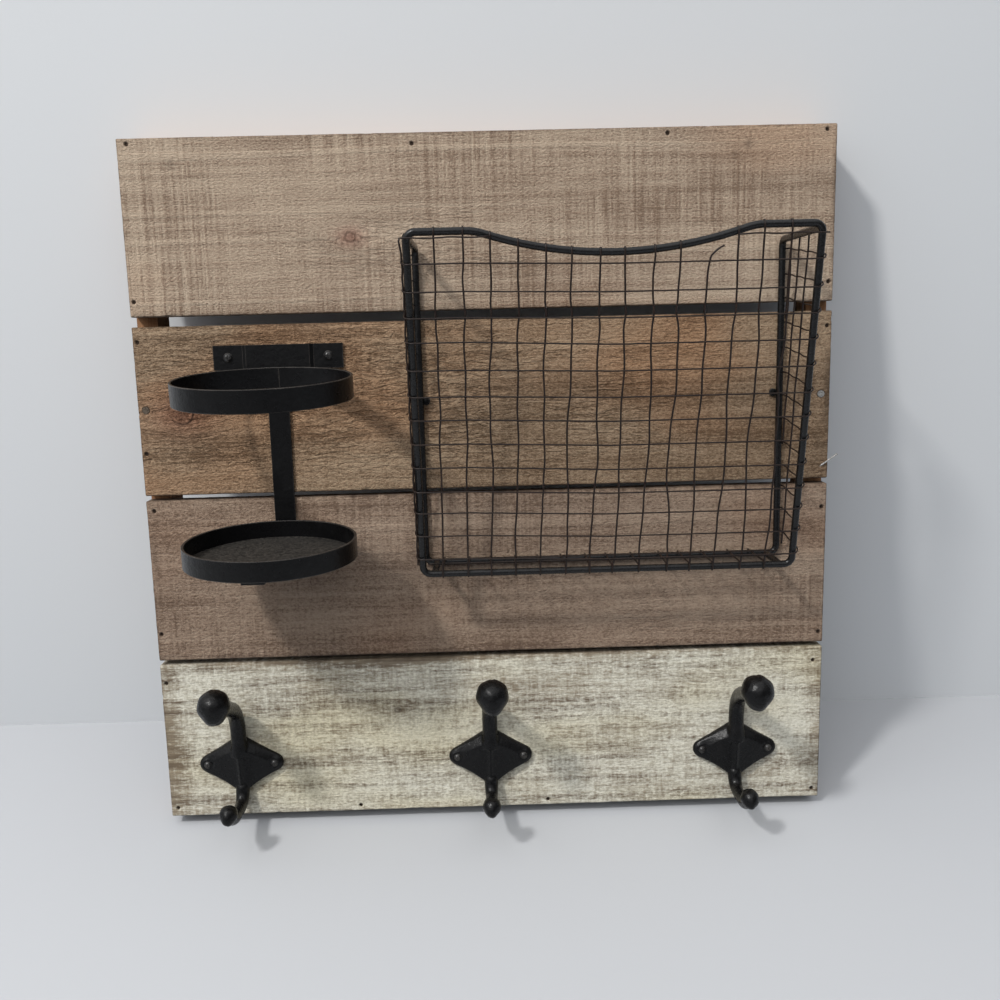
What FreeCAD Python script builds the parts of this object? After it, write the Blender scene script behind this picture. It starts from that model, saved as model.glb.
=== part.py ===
import FreeCAD, Part
import math
import os

# Wall organizer: four rough boards nailed to a thin box frame, with a pot holder,
# a wire basket and three cast double coat hooks on the front. All sizes are in millimetres.
# The frame hangs with its back against the wall: X runs to the right, Z up, and -Y faces the room.
# The origin is the middle of the top rail's back face, where the wall touches it.

# Boards
board_length = 575.0
board_width = 139.7
board_thickness = 16.0
board_gaps = (7.6, 4.2, 3.8)
board_names = ("board_top", "board_upper", "board_lower", "board_hooks")
board_edge_round = 1.4

# Strips of the box frame behind the boards
strip_face = 17.0
strip_depth = 32.0

# Brads that hold the boards, set below the surface
brad_radius = 0.9
brad_length = 30.0
brad_head_radius = 1.5
brad_head_height = 0.8
brad_set_depth = 1.5
fit_clearance = 0.05

# Brads in the rails: share of the board's length right of its middle, share of the strip's face from its edge
top_brad_shares = ((-0.093, 0.506), (0.2626, 0.294))
bottom_brad_shares = ((-0.209, 0.294), (0.08, 0.294))

# Brads in the side strips: end, board, share of the strip's face from that end, share of the board's width
# below its top edge
side_brad_shares = (
    ("left", "board_top", 0.482, 0.032), ("left", "board_top", 0.235, 0.911),
    ("left", "board_upper", 0.235, 0.089), ("left", "board_upper", 0.235, 0.746),
    ("left", "board_lower", 0.376, 0.062), ("left", "board_lower", 0.235, 0.83),
    ("left", "board_hooks", 0.259, 0.12), ("left", "board_hooks", 0.353, 0.945),
    ("right", "board_top", 0.482, 0.032), ("right", "board_top", 0.235, 0.888),
    ("right", "board_upper", 0.235, 0.089), ("right", "board_lower", 0.259, 0.145),
    ("right", "board_lower", 0.235, 0.935), ("right", "board_hooks", 0.465, 0.092),
    ("right", "board_hooks", 0.353, 0.945),
)

# Two wide-headed nails, one at each end of the second board, driven flush
wide_nail_radius = 1.3
wide_nail_length = 28.0
wide_nail_head_radius = 2.9
wide_nail_head_height = 1.0
wide_nail_shares = (("left", "board_upper", 0.382, 0.485), ("right", "board_upper", 0.447, 0.49))

# A brad that missed the strip and stands out past the second board's right end
stray_brad_radius = 0.7
stray_brad_from_end = 4.0
stray_brad_width_share = 0.911
stray_brad_out = (10.5, -3.5, 8.5)
stray_brad_buried_share = 0.6

# Nails through the side strips into the ends of the rails
frame_nail_radius = 1.2
frame_nail_length = 40.0
frame_nail_head_radius = 2.6
frame_nail_head_height = 1.0
frame_nail_depths = (10.0, 22.0)
frame_nail_rail_share = 0.74

# Sawtooth hangers on the back of the top rail
hanger_length = 42.0
hanger_height = 9.0
hanger_thickness = 0.9
hanger_raise = 1.4
hanger_raised_length = 26.0
hanger_teeth = 6
hanger_tooth_depth = 2.0
hanger_length_share = 0.348
hanger_recess = 3.2
hanger_room = 2.0
hanger_nail_radius = 0.8
hanger_nail_length = 11.0
hanger_nail_head_radius = 1.9
hanger_nail_head_height = 0.7
hanger_nail_from_middle = 17.5

# Pot holder: a joggled plate, a strap, a ring and a shallow dish
holder_length_share = -0.2939
holder_plate_length = 106.0
holder_plate_height = 20.0
holder_plate_thickness = 2.0
holder_plate_below_board_top = 16.5
holder_middle_length = 58.0
holder_joggle_run = 3.0
strap_width = 17.3
strap_thickness = 2.5
strap_below_plate_top = 2.0
strap_bend_radius = 2.0
strap_foot_length = 120.5
ring_radius = 67.5
ring_band = 16.0
ring_wall = 2.0
ring_tilt = 4.85
ring_weld_bite = 0.3
ring_seam = 0.5
dish_radius = 65.8
dish_band = 15.0
dish_wall = 2.0
dish_floor = 1.6
dish_tilt = 2.3
dish_below_plate = 146.5

# Pan-head screws with a cross recess
holder_screw_radius = 2.0
holder_screw_length = 13.0
holder_screw_head_radius = 4.0
holder_screw_head_height = 2.6
holder_screw_spread = 41.0
hook_screw_radius = 1.6
hook_screw_length = 15.0
hook_screw_head_radius = 3.2
hook_screw_head_height = 2.0
hook_screw_spread = 29.0
recess_share = 0.58
recess_width_share = 0.14
recess_depth_share = 0.55

# Basket: a slanting front hoop, a back rod with arms, short bottom rods and wire mesh
basket_length_share = 0.1652
basket_width_share = 0.5183
basket_height = 262.5
basket_above_bottom = 225.0
basket_depth_top = 97.5
basket_depth_bottom = 43.0
rod_radius = 2.8
rod_bend = 6.5
rod_weld_room = 1.0
arm_below_top = 3.0
scoop_half_width = 107.0
scoop_depth = 17.0
scoop_shoulder_radius = 40.0
wire_upright_radius = 0.75
wire_cross_radius = 0.6
mesh_pitch_across = 19.9
mesh_pitch_up = 19.3
mesh_first_below_rod = 3.5
mesh_side_start = 3.0
mesh_side_pitch = 21.0
mesh_overrun = 2.0
scoop_search_step = 1.0
floor_long_wires = 2
broken_upright_number = 11
broken_crossing_number = 1
broken_tail = (11.0, 4.0, 9.0)
broken_tail_bend = 6.0

# Eyes welded to the back rods, each with one screw into the second board
eye_below_board_top = 66.0
eye_radius = 4.6
eye_thickness = 2.4
eye_weld_bite = 0.5
eye_screw_radius = 1.7
eye_screw_length = 14.0
eye_screw_head_radius = 3.4
eye_screw_head_height = 2.0

# Coat hooks: cast in one piece with a diamond plate, a long upper arm and a short lower arm
hook_length_shares = (-0.3861, -0.007, 0.367)
hook_names = ("coat_hook_left", "coat_hook_middle", "coat_hook_right")
hook_above_board_bottom = 49.5
diamond_half_width = 44.0
diamond_half_height = 26.5
diamond_side_round = 8.0
diamond_top_round = 10.0
diamond_front_share = 0.86
diamond_tip_thickness = 5.2
diamond_ridge_thickness = 9.5
upper_arm_radius = 5.5
upper_arm_stand = 6.5
upper_arm_knee = 15.0
upper_arm_straight = 30.5
upper_arm_bend = 30.0
upper_arm_turn = 68.0
upper_arm_reach = 51.6
upper_arm_root = (3.8, 4.0)
upper_arm_knee_bend = 25.0
upper_knob_radius = 13.0
upper_knob_length = 28.0
lower_arm_radius = 4.8
lower_arm_stand = 4.6
lower_arm_start = -14.0
lower_arm_drop = 23.5
lower_arm_bend = 10.0
lower_arm_bend_turn = 90.0
lower_arm_level = 21.4
lower_arm_curl = 22.0
lower_arm_curl_turn = 60.0
lower_knob_radius = 7.8
lower_knob_length = 15.5
knob_tip_share = 0.14
knob_swell_share = 0.94
knob_swell_at = -0.2
knob_widest_at = 0.15
knob_shoulder_share = 0.72
knob_shoulder_at = 0.72

# Places worked out from the sizes
front_y = -(strip_depth + board_thickness)
panel_top = strip_face / 2.0
panel_height = len(board_names) * board_width + sum(board_gaps)
panel_bottom = panel_top - panel_height
board_tops = []
next_top = panel_top
for index in range(len(board_names)):
    board_tops.append(next_top)
    if index < len(board_gaps):
        next_top -= board_width + board_gaps[index]
half_length = board_length / 2.0
holder_x = board_length * holder_length_share
basket_x = board_length * basket_length_share
basket_width = board_length * basket_width_share
hook_places = [board_length * share for share in hook_length_shares]
back_rod_y = front_y - rod_radius
basket_bottom = panel_bottom + basket_above_bottom
basket_top = basket_bottom + basket_height
hoop_bottom_y = back_rod_y - basket_depth_bottom
slant = math.atan2(basket_depth_top - basket_depth_bottom, basket_height)
hoop_height = basket_height / math.cos(slant)
upright_layer = rod_radius + wire_upright_radius
cross_layer = rod_radius + 2.0 * wire_upright_radius + wire_cross_radius
eye_z = board_tops[1] - eye_below_board_top

LEFT = -1
RIGHT = 1
SIDES = {"left": LEFT, "right": RIGHT}
TOWARDS_ROOM = FreeCAD.Vector(0, -1, 0)
TOWARDS_WALL = FreeCAD.Vector(0, 1, 0)
UP = FreeCAD.Vector(0, 0, 1)
ACROSS = FreeCAD.Vector(1, 0, 0)


def point(x, y, z):
    return FreeCAD.Vector(x, y, z)


def block(low, high):
    return Part.makeBox(high[0] - low[0], high[1] - low[1], high[2] - low[2], point(*low))


def bar(radius, start, end):
    run = end - start
    return Part.makeCylinder(radius, run.Length, start, run)


def line(start, end):
    return Part.LineSegment(start, end).toShape()


def arc(start, middle, end):
    return Part.Arc(start, middle, end).toShape()


def bent_edges(points, radius):
    """Straight runs through the points, with an arc of the radius at each bend."""
    edges = []
    run_start = points[0]
    for before, corner, after in zip(points, points[1:], points[2:]):
        arriving = (corner - before).normalize()
        leaving = (after - corner).normalize()
        turn = arriving.getAngle(leaving)
        tangent = radius * math.tan(turn / 2.0)
        arc_start = corner - arriving * tangent
        arc_end = corner + leaving * tangent
        inward = (leaving - arriving).normalize()
        arc_middle = corner + inward * (radius / math.cos(turn / 2.0) - radius)
        edges.append(line(run_start, arc_start))
        edges.append(arc(arc_start, arc_middle, arc_end))
        run_start = arc_end
    edges.append(line(run_start, points[-1]))
    return edges


def rod_along(edges, radius):
    """A round rod swept along joined edges."""
    path = Part.Wire(edges)
    first = edges[0]
    tangent = first.tangentAt(first.FirstParameter)
    section = Part.Face(Part.Wire(Part.makeCircle(radius, first.valueAt(first.FirstParameter), tangent)))
    return path.makePipe(section)


def group(solids):
    return Part.makeCompound(solids)


def headed_pin(surface, direction, shank_radius, length, head_radius, head_height, spare=0.0):
    """A nail or plain pin: its head's outer face lies at surface and its shank runs along direction."""
    head = Part.makeCylinder(head_radius + spare, head_height, surface, direction)
    shank = Part.makeCylinder(shank_radius + spare, length, surface, direction)
    return head.fuse(shank).removeSplitter()


def brad_seat(end, board, face_share, width_share):
    x = SIDES[end] * (half_length - strip_face * face_share)
    return (x, board_tops[board_names.index(board)] - board_width * width_share)


def brad_places():
    places = [brad_seat(*row) for row in side_brad_shares]
    places += [(board_length * along, panel_top - strip_face * below) for along, below in top_brad_shares]
    places += [(board_length * along, panel_bottom + strip_face * above) for along, above in bottom_brad_shares]
    return places


def board_brad(x, z, spare=0.0):
    seat = point(x, front_y + brad_set_depth, z)
    return headed_pin(seat, TOWARDS_WALL, brad_radius, brad_length, brad_head_radius, brad_head_height, spare)


def brad_hole(x, z):
    """The brad's own room, with the open mouth that the punch left above its head."""
    mouth_start = point(x, front_y, z)
    mouth = Part.makeCylinder(brad_head_radius + fit_clearance, brad_set_depth, mouth_start, TOWARDS_WALL)
    return mouth.fuse(board_brad(x, z, fit_clearance))


def wide_nail(row, spare=0.0):
    x, z = brad_seat(*row)
    return headed_pin(point(x, front_y, z), TOWARDS_WALL, wide_nail_radius, wide_nail_length,
                      wide_nail_head_radius, wide_nail_head_height, spare)


def stray_brad(spare=0.0):
    root = point(half_length - stray_brad_from_end, front_y, board_tops[1] - board_width * stray_brad_width_share)
    out = point(*stray_brad_out)
    return bar(stray_brad_radius + spare, root - out * stray_brad_buried_share, root + out)


def pan_screw(seat, shank_radius, length, head_radius, head_height):
    """A domed screw head standing on seat towards the room, with a cross recess, and its shank."""
    cap_radius = (head_radius ** 2 + head_height ** 2) / (2.0 * head_height)
    cap_centre = seat + TOWARDS_WALL * (cap_radius - head_height)
    dome = Part.makeSphere(cap_radius, cap_centre)
    room = Part.makeCylinder(head_radius, head_height, seat, TOWARDS_ROOM)
    head = room.common(dome)
    arm = head_radius * recess_share
    half_width = head_radius * recess_width_share
    top_y = seat.y - head_height
    recess_y = top_y + head_height * recess_depth_share
    level = block((seat.x - arm, top_y, seat.z - half_width), (seat.x + arm, recess_y, seat.z + half_width))
    upright = block((seat.x - half_width, top_y, seat.z - arm), (seat.x + half_width, recess_y, seat.z + arm))
    shank = Part.makeCylinder(shank_radius, length, seat, TOWARDS_WALL)
    return head.cut(level.fuse(upright)).fuse(shank).removeSplitter()


def screw_hole(seat, shank_radius, length):
    return Part.makeCylinder(shank_radius + fit_clearance, length + fit_clearance, seat, TOWARDS_WALL)


def holder_plate_top():
    return board_tops[1] - holder_plate_below_board_top


def holder_plate_bottom():
    return holder_plate_top() - holder_plate_height


def holder_screw_seats():
    z = holder_plate_top() - holder_plate_height / 2.0
    y = front_y - holder_plate_thickness
    return [point(holder_x + side * holder_screw_spread, y, z) for side in (LEFT, RIGHT)]


def hook_centre(x):
    return point(x, front_y, panel_bottom + hook_above_board_bottom)


def hook_screw_seats(x):
    centre = hook_centre(x)
    y = front_y - diamond_tip_thickness
    return [point(x + side * hook_screw_spread, y, centre.z) for side in (LEFT, RIGHT)]


def eye_centres():
    reach = basket_width / 2.0 - rod_radius - eye_radius + eye_weld_bite
    y = front_y - eye_thickness
    return [point(basket_x + side * reach, y, eye_z) for side in (LEFT, RIGHT)]


def front_holes():
    """Every hole that something on the front needs in the boards and strips."""
    holes = [brad_hole(x, z) for x, z in brad_places()]
    holes += [wide_nail(row, fit_clearance) for row in wide_nail_shares]
    holes.append(stray_brad(fit_clearance))
    holes += [screw_hole(seat, holder_screw_radius, holder_screw_length) for seat in holder_screw_seats()]
    holes += [screw_hole(seat, eye_screw_radius, eye_screw_length) for seat in eye_centres()]
    for x in hook_places:
        holes += [screw_hole(seat, hook_screw_radius, hook_screw_length) for seat in hook_screw_seats(x)]
    return holes


def cut_where_met(piece, tools):
    """Cuts from the piece only the tools that reach into its box."""
    for tool in tools:
        if piece.BoundBox.intersect(tool.BoundBox):
            piece = piece.cut(tool)
    return piece


def frame_nail_rows():
    """Side, depth and height of each nail through a side strip into a rail."""
    from_edge = strip_face * frame_nail_rail_share
    heights = (panel_top - from_edge, panel_bottom + from_edge)
    return [(side, depth, z) for side in (LEFT, RIGHT) for z in heights for depth in frame_nail_depths]


def frame_nail(side, depth, z, spare=0.0):
    surface = point(side * half_length, -depth, z)
    return headed_pin(surface, ACROSS * -side, frame_nail_radius, frame_nail_length,
                      frame_nail_head_radius, frame_nail_head_height, spare)


def hanger_x(side):
    return side * board_length * hanger_length_share


def hanger_nail_seats(side):
    y = hanger_thickness - hanger_recess
    return [point(hanger_x(side) + end * hanger_nail_from_middle, y, 0.0) for end in (LEFT, RIGHT)]


def hanger_pocket(side):
    """The shallow pocket that lets the hanger lie below the rail's back face, open below for the wall's screw."""
    half = hanger_length / 2.0 + hanger_room
    x = hanger_x(side)
    high = hanger_height / 2.0 + hanger_room
    return block((x - half, -hanger_recess, panel_top - strip_face), (x + half, 0.0, high))


def hanger_nail(seat, spare=0.0):
    surface = seat + TOWARDS_WALL * hanger_nail_head_height
    return headed_pin(surface, TOWARDS_ROOM, hanger_nail_radius, hanger_nail_length,
                      hanger_nail_head_radius, hanger_nail_head_height, spare)


def make_board(index, holes):
    top = board_tops[index]
    body = block((-half_length, front_y, top - board_width), (half_length, -strip_depth, top))
    front_edges = [edge for edge in body.Edges if edge.BoundBox.YMax < front_y + fit_clearance]
    body = body.makeFillet(board_edge_round, front_edges)
    return cut_where_met(body, holes)


def make_side_strip(side, holes):
    outer = side * half_length
    inner = side * (half_length - strip_face)
    body = block((min(outer, inner), -strip_depth, panel_bottom), (max(outer, inner), 0.0, panel_top))
    return cut_where_met(body, holes)


def make_rail(low_z, holes):
    reach = half_length - strip_face
    body = block((-reach, -strip_depth, low_z), (reach, 0.0, low_z + strip_face))
    return cut_where_met(body, holes)


def make_hanger(side):
    """A thin strip raised off its pocket in the middle, with teeth along the raised lower edge."""
    x = hanger_x(side)
    half = hanger_length / 2.0
    raised = hanger_raised_length / 2.0
    step = raised + hanger_raise
    outer = [
        (-half, 0.0), (-step, 0.0), (-raised, hanger_raise), (raised, hanger_raise), (step, 0.0), (half, 0.0),
    ]
    inner = [(px, py + hanger_thickness) for px, py in reversed(outer)]
    corners = [point(x + px, py - hanger_recess, -hanger_height / 2.0) for px, py in outer + inner]
    strip = Part.Face(Part.makePolygon(corners + corners[:1])).extrude(UP * hanger_height)
    pitch = hanger_raised_length / hanger_teeth
    low = -hanger_height / 2.0
    back = hanger_raise + 2.0 * hanger_thickness
    for tooth in range(hanger_teeth):
        start = x - raised + tooth * pitch
        notch = [point(start, -hanger_recess, low), point(start + pitch, -hanger_recess, low),
                 point(start + pitch / 2.0, -hanger_recess, low + hanger_tooth_depth)]
        strip = strip.cut(Part.Face(Part.makePolygon(notch + notch[:1])).extrude(TOWARDS_WALL * back))
    for seat in hanger_nail_seats(side):
        hole_start = seat + TOWARDS_ROOM * hanger_thickness
        hole = Part.makeCylinder(hanger_nail_radius + fit_clearance, hanger_thickness, hole_start, TOWARDS_WALL)
        strip = strip.cut(hole)
    return strip


def make_holder_plate():
    """A flat bar with its middle stepped forward by the strap's thickness."""
    half = holder_plate_length / 2.0
    middle = holder_middle_length / 2.0
    wall_side = [
        (-half, 0.0), (-middle, 0.0), (-middle + holder_joggle_run, -strap_thickness),
        (middle - holder_joggle_run, -strap_thickness), (middle, 0.0), (half, 0.0),
    ]
    room_side = [(px, py - holder_plate_thickness) for px, py in reversed(wall_side)]
    z = holder_plate_bottom()
    corners = [point(holder_x + px, front_y + py, z) for px, py in wall_side + room_side]
    plate = Part.Face(Part.makePolygon(corners + corners[:1])).extrude(UP * holder_plate_height)
    for seat in holder_screw_seats():
        hole = Part.makeCylinder(holder_screw_radius + fit_clearance, holder_plate_thickness, seat, TOWARDS_WALL)
        plate = plate.cut(hole)
    return plate


def dish_rim_centre():
    """The middle of the dish's rim: its back lower edge stands one bend radius off the strap."""
    lean = math.radians(dish_tilt)
    back_reach = dish_radius * math.cos(lean) + dish_band * math.sin(lean)
    y = front_y - strap_thickness - strap_bend_radius - back_reach
    return point(holder_x, y, holder_plate_top() - dish_below_plate)


def dish_underside(y):
    """Height of the dish's underside along its middle, which leans down towards the room."""
    lean = math.radians(dish_tilt)
    centre = dish_rim_centre()
    middle_y = centre.y + dish_band * math.sin(lean)
    middle_z = centre.z - dish_band * math.cos(lean)
    return middle_z + (y - middle_y) * math.tan(lean)


def make_strap():
    """The upright strap with its foot bent forward under the dish."""
    lean = math.radians(dish_tilt)
    strap_front = front_y - strap_thickness
    turn = math.pi / 2.0 - lean
    inner_turn = strap_bend_radius * math.tan(turn / 2.0)
    outer_turn = (strap_bend_radius + strap_thickness) * math.tan(turn / 2.0)
    forward = point(0, -math.cos(lean), -math.sin(lean))
    downward = point(0, math.sin(lean), -math.cos(lean))
    inner_corner = point(0, strap_front, dish_underside(strap_front))
    outer_corner = point(0, front_y, dish_underside(front_y) - strap_thickness / math.cos(lean))
    inner_up = inner_corner + UP * inner_turn
    inner_out = inner_corner + forward * inner_turn
    outer_up = outer_corner + UP * outer_turn
    outer_out = outer_corner + forward * outer_turn
    inner_centre = inner_out - downward * strap_bend_radius
    into_bend = (inner_corner - inner_centre).normalize()
    inner_middle = inner_centre + into_bend * strap_bend_radius
    outer_middle = inner_centre + into_bend * (strap_bend_radius + strap_thickness)
    top_z = holder_plate_top() - strap_below_plate_top
    foot_top = inner_out + forward * strap_foot_length
    foot_bottom = foot_top + downward * strap_thickness
    edges = [
        line(point(0, front_y, top_z), point(0, strap_front, top_z)),
        line(point(0, strap_front, top_z), inner_up),
        arc(inner_up, inner_middle, inner_out),
        line(inner_out, foot_top),
        line(foot_top, foot_bottom),
        line(foot_bottom, outer_out),
        arc(outer_out, outer_middle, outer_up),
        line(outer_up, point(0, front_y, top_z)),
    ]
    side = Part.Face(Part.Wire(edges))
    side.translate(ACROSS * (holder_x - strap_width / 2.0))
    return side.extrude(ACROSS * strap_width)


def leaning_cylinder(radius, height, rim_centre, tilt):
    """An upright cylinder below rim_centre, leaned so that its side towards the room is lower."""
    body = Part.makeCylinder(radius, height, rim_centre - UP * height, UP)
    body.rotate(rim_centre, ACROSS, tilt)
    return body


def ring_rim_centre():
    """The middle of the ring's rim: its back meets the plate's lower edge above and the strap behind."""
    lean = math.radians(ring_tilt)
    back_reach = ring_radius * math.cos(lean) + ring_band * math.sin(lean)
    y = front_y - strap_thickness - back_reach + ring_weld_bite
    z = holder_plate_bottom() - ring_radius * math.sin(lean)
    return point(holder_x, y, z)


def make_ring(strap):
    """A rolled band, open at the butt seam in the middle of its back, seated on the strap."""
    centre = ring_rim_centre()
    band = leaning_cylinder(ring_radius, ring_band, centre, ring_tilt)
    inner_radius = ring_radius - ring_wall
    bore_length = ring_band + 2.0 * ring_wall
    bore = Part.makeCylinder(inner_radius, bore_length, centre - UP * (ring_band + ring_wall), UP)
    bore.rotate(centre, ACROSS, ring_tilt)
    half_seam = ring_seam / 2.0
    seam_front = centre.y + inner_radius / 2.0
    seam = block((holder_x - half_seam, seam_front, centre.z - 2.0 * ring_band),
                 (holder_x + half_seam, front_y, centre.z + 2.0 * ring_band))
    return band.cut(bore).cut(seam).cut(strap)


def make_dish_rim():
    centre = dish_rim_centre()
    outer = leaning_cylinder(dish_radius, dish_band, centre, dish_tilt)
    inner = Part.makeCylinder(dish_radius - dish_wall, dish_band + 2.0 * dish_wall,
                              centre - UP * (dish_band + dish_wall), UP)
    inner.rotate(centre, ACROSS, dish_tilt)
    return outer.cut(inner)


def make_dish_floor():
    """The round sheet inside the rim, flush with the rim's lower edge."""
    centre = dish_rim_centre()
    disc = Part.makeCylinder(dish_radius - dish_wall, dish_floor, centre - UP * dish_band, UP)
    disc.rotate(centre, ACROSS, dish_tilt)
    return disc


def hoop_point(x, up, out=0.0):
    """A place on the slanting front: x from the basket's middle, up along the slant, out from the rods."""
    y = hoop_bottom_y - up * math.sin(slant) - out * math.cos(slant)
    z = basket_bottom + up * math.cos(slant) - out * math.sin(slant)
    return point(basket_x + x, y, z)


def scoop_turn():
    return 2.0 * math.atan2(scoop_depth, scoop_half_width)


def scoop_radius():
    return scoop_half_width / math.sin(scoop_turn()) - scoop_shoulder_radius


def hoop_top(x):
    """Height of the top rod's middle line along the slant, at x from the basket's middle."""
    reach = abs(x)
    radius = scoop_radius()
    if reach >= scoop_half_width:
        return hoop_height
    if reach >= radius * math.sin(scoop_turn()):
        side = scoop_half_width - reach
        return hoop_height - scoop_shoulder_radius + math.sqrt(scoop_shoulder_radius ** 2 - side ** 2)
    return hoop_height - scoop_depth + radius - math.sqrt(radius ** 2 - reach ** 2)


def make_hoop():
    """One rod bent into the front's outline, with the shallow scoop in its top."""
    half = basket_width / 2.0
    radius = scoop_radius()
    turn = scoop_turn()
    join = radius * math.sin(turn)
    mid_sag = radius * math.sin(turn / 2.0)
    mid_shoulder = scoop_half_width - scoop_shoulder_radius * math.sin(turn / 2.0)
    bend_middle = rod_bend * (1.0 - math.sqrt(0.5))
    halves = []
    for side in (LEFT, RIGHT):
        def place(x, up):
            return hoop_point(side * x, up)
        edges = [
            line(place(0, 0), place(half - rod_bend, 0)),
            arc(place(half - rod_bend, 0), place(half - bend_middle, bend_middle), place(half, rod_bend)),
            line(place(half, rod_bend), place(half, hoop_height - rod_bend)),
            arc(place(half, hoop_height - rod_bend), place(half - bend_middle, hoop_height - bend_middle),
                place(half - rod_bend, hoop_height)),
            line(place(half - rod_bend, hoop_height), place(scoop_half_width, hoop_height)),
            arc(place(scoop_half_width, hoop_height), place(mid_shoulder, hoop_top(mid_shoulder)),
                place(join, hoop_top(join))),
            arc(place(join, hoop_top(join)), place(mid_sag, hoop_top(mid_sag)), place(0, hoop_top(0))),
        ]
        halves.append(rod_along(edges, rod_radius))
    return halves[0].fuse(halves[1]).removeSplitter()


def arm_z():
    """Height of the back rod's arms, just under the hoop's top."""
    return basket_top - arm_below_top


def make_back_rod(hoop):
    """One rod: an arm from each top corner of the hoop to the board, down both sides and along the bottom."""
    half = basket_width / 2.0
    arm_end = hoop_point(0, (arm_z() - basket_bottom) / math.cos(slant)).y + rod_weld_room
    stops = [
        (-half, arm_end, arm_z()), (-half, back_rod_y, arm_z()), (-half, back_rod_y, basket_bottom),
        (half, back_rod_y, basket_bottom), (half, back_rod_y, arm_z()), (half, arm_end, arm_z()),
    ]
    points = [point(basket_x + x, y, z) for x, y, z in stops]
    return rod_along(bent_edges(points, rod_bend), rod_radius).cut(hoop)


def make_bottom_rod(side, hoop, back_rod):
    """A short rod between the front and back bottom rods."""
    x = basket_x + side * (basket_width / 2.0 - rod_bend - rod_radius)
    start = point(x, back_rod_y - rod_weld_room, basket_bottom)
    end = point(x, hoop_bottom_y + rod_weld_room, basket_bottom)
    return bar(rod_radius, start, end).cut(hoop).cut(back_rod)


def upright_places():
    cells = max(2, round(basket_width / mesh_pitch_across))
    pitch = basket_width / cells
    return [-basket_width / 2.0 + pitch * number for number in range(1, cells)]


def crossing_heights():
    heights = []
    up = hoop_height - mesh_first_below_rod
    while up > rod_bend:
        heights.append(up)
        up -= mesh_pitch_up
    return heights


def make_front_mesh():
    """Upright wires against the hoop's top and bottom rods, and crossing wires in front of them."""
    wires = []
    heights = crossing_heights()
    for number, x in enumerate(upright_places(), start=1):
        foot = hoop_point(x, -mesh_overrun, upright_layer)
        if number == broken_upright_number:
            tail_x, tail_out, tail_up = broken_tail
            break_up = heights[broken_crossing_number] + wire_cross_radius
            tip = hoop_point(x + tail_x, break_up + tail_up, cross_layer + tail_out)
            stops = [foot, hoop_point(x, break_up, upright_layer), tip]
            wires.append(rod_along(bent_edges(stops, broken_tail_bend), wire_upright_radius))
        else:
            wires.append(bar(wire_upright_radius, foot, hoop_point(x, hoop_top(x) + mesh_overrun, upright_layer)))
    reach = basket_width / 2.0 + cross_layer
    for up in heights:
        stops = [reach]
        if up + wire_cross_radius > hoop_height - scoop_depth - rod_radius:
            stops = [reach, scoop_crossing(up)]
        for side in (LEFT, RIGHT):
            if len(stops) == 2:
                wires.append(bar(wire_cross_radius, hoop_point(side * stops[0], up, cross_layer),
                                 hoop_point(side * stops[1], up, cross_layer)))
        if len(stops) == 1:
            wires.append(bar(wire_cross_radius, hoop_point(-reach, up, cross_layer),
                             hoop_point(reach, up, cross_layer)))
    return group(wires)


def scoop_crossing(up):
    """Where a crossing wire at this height meets the scooped rod, from the basket's middle."""
    reach = scoop_half_width
    while reach > 0.0 and hoop_top(reach) > up:
        reach -= scoop_search_step
    return reach


def make_side_mesh(side):
    """The folded-back side: wires along the slant, and crossing wires square to it on their outside."""
    wires = []
    upright_x = side * (basket_width / 2.0 + upright_layer)
    cross_x = side * (basket_width / 2.0 + cross_layer)
    back = mesh_side_start
    while hoop_point(0, hoop_height, -back).y < back_rod_y:
        low_up = 0.0
        low = hoop_point(upright_x, low_up, -back)
        if low.y > back_rod_y:
            low_up = (low.y - back_rod_y) / math.sin(slant)
            low = hoop_point(upright_x, low_up, -back)
        high_up = (arm_z() - basket_bottom - back * math.sin(slant)) / math.cos(slant)
        if high_up > low_up + mesh_side_pitch:
            wires.append(bar(wire_upright_radius, low, hoop_point(upright_x, high_up, -back)))
        back += mesh_side_pitch
    start = wire_cross_radius - cross_layer
    for up in crossing_heights():
        front = hoop_point(cross_x, up, -start)
        to_wall = (back_rod_y - front.y) / math.cos(slant)
        to_arm = (arm_z() - front.z) / math.sin(slant)
        length = min(to_wall, to_arm)
        if length > mesh_side_start + cross_layer:
            wires.append(bar(wire_cross_radius, front, hoop_point(cross_x, up, -start - length)))
    return group(wires)


def make_floor_mesh():
    """Wires from back to front on the bottom rods, and a few lengthwise ones on top of them."""
    wires = []
    low_z = basket_bottom + upright_layer
    for x in upright_places():
        wires.append(bar(wire_upright_radius, point(basket_x + x, back_rod_y, low_z),
                         point(basket_x + x, hoop_bottom_y, low_z)))
    high_z = basket_bottom + cross_layer
    half = basket_width / 2.0 - rod_radius
    for number in range(1, floor_long_wires + 1):
        y = back_rod_y - basket_depth_bottom * number / (floor_long_wires + 1)
        wires.append(bar(wire_cross_radius, point(basket_x - half, y, high_z), point(basket_x + half, y, high_z)))
    return group(wires)


def make_eye(centre, back_rod):
    """A flat eye on the board beside the back rod, with a hole for its screw."""
    eye = Part.makeCylinder(eye_radius, eye_thickness, centre, TOWARDS_WALL)
    hole = Part.makeCylinder(eye_screw_radius + fit_clearance, eye_thickness, centre, TOWARDS_WALL)
    return eye.cut(hole).cut(back_rod)


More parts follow.
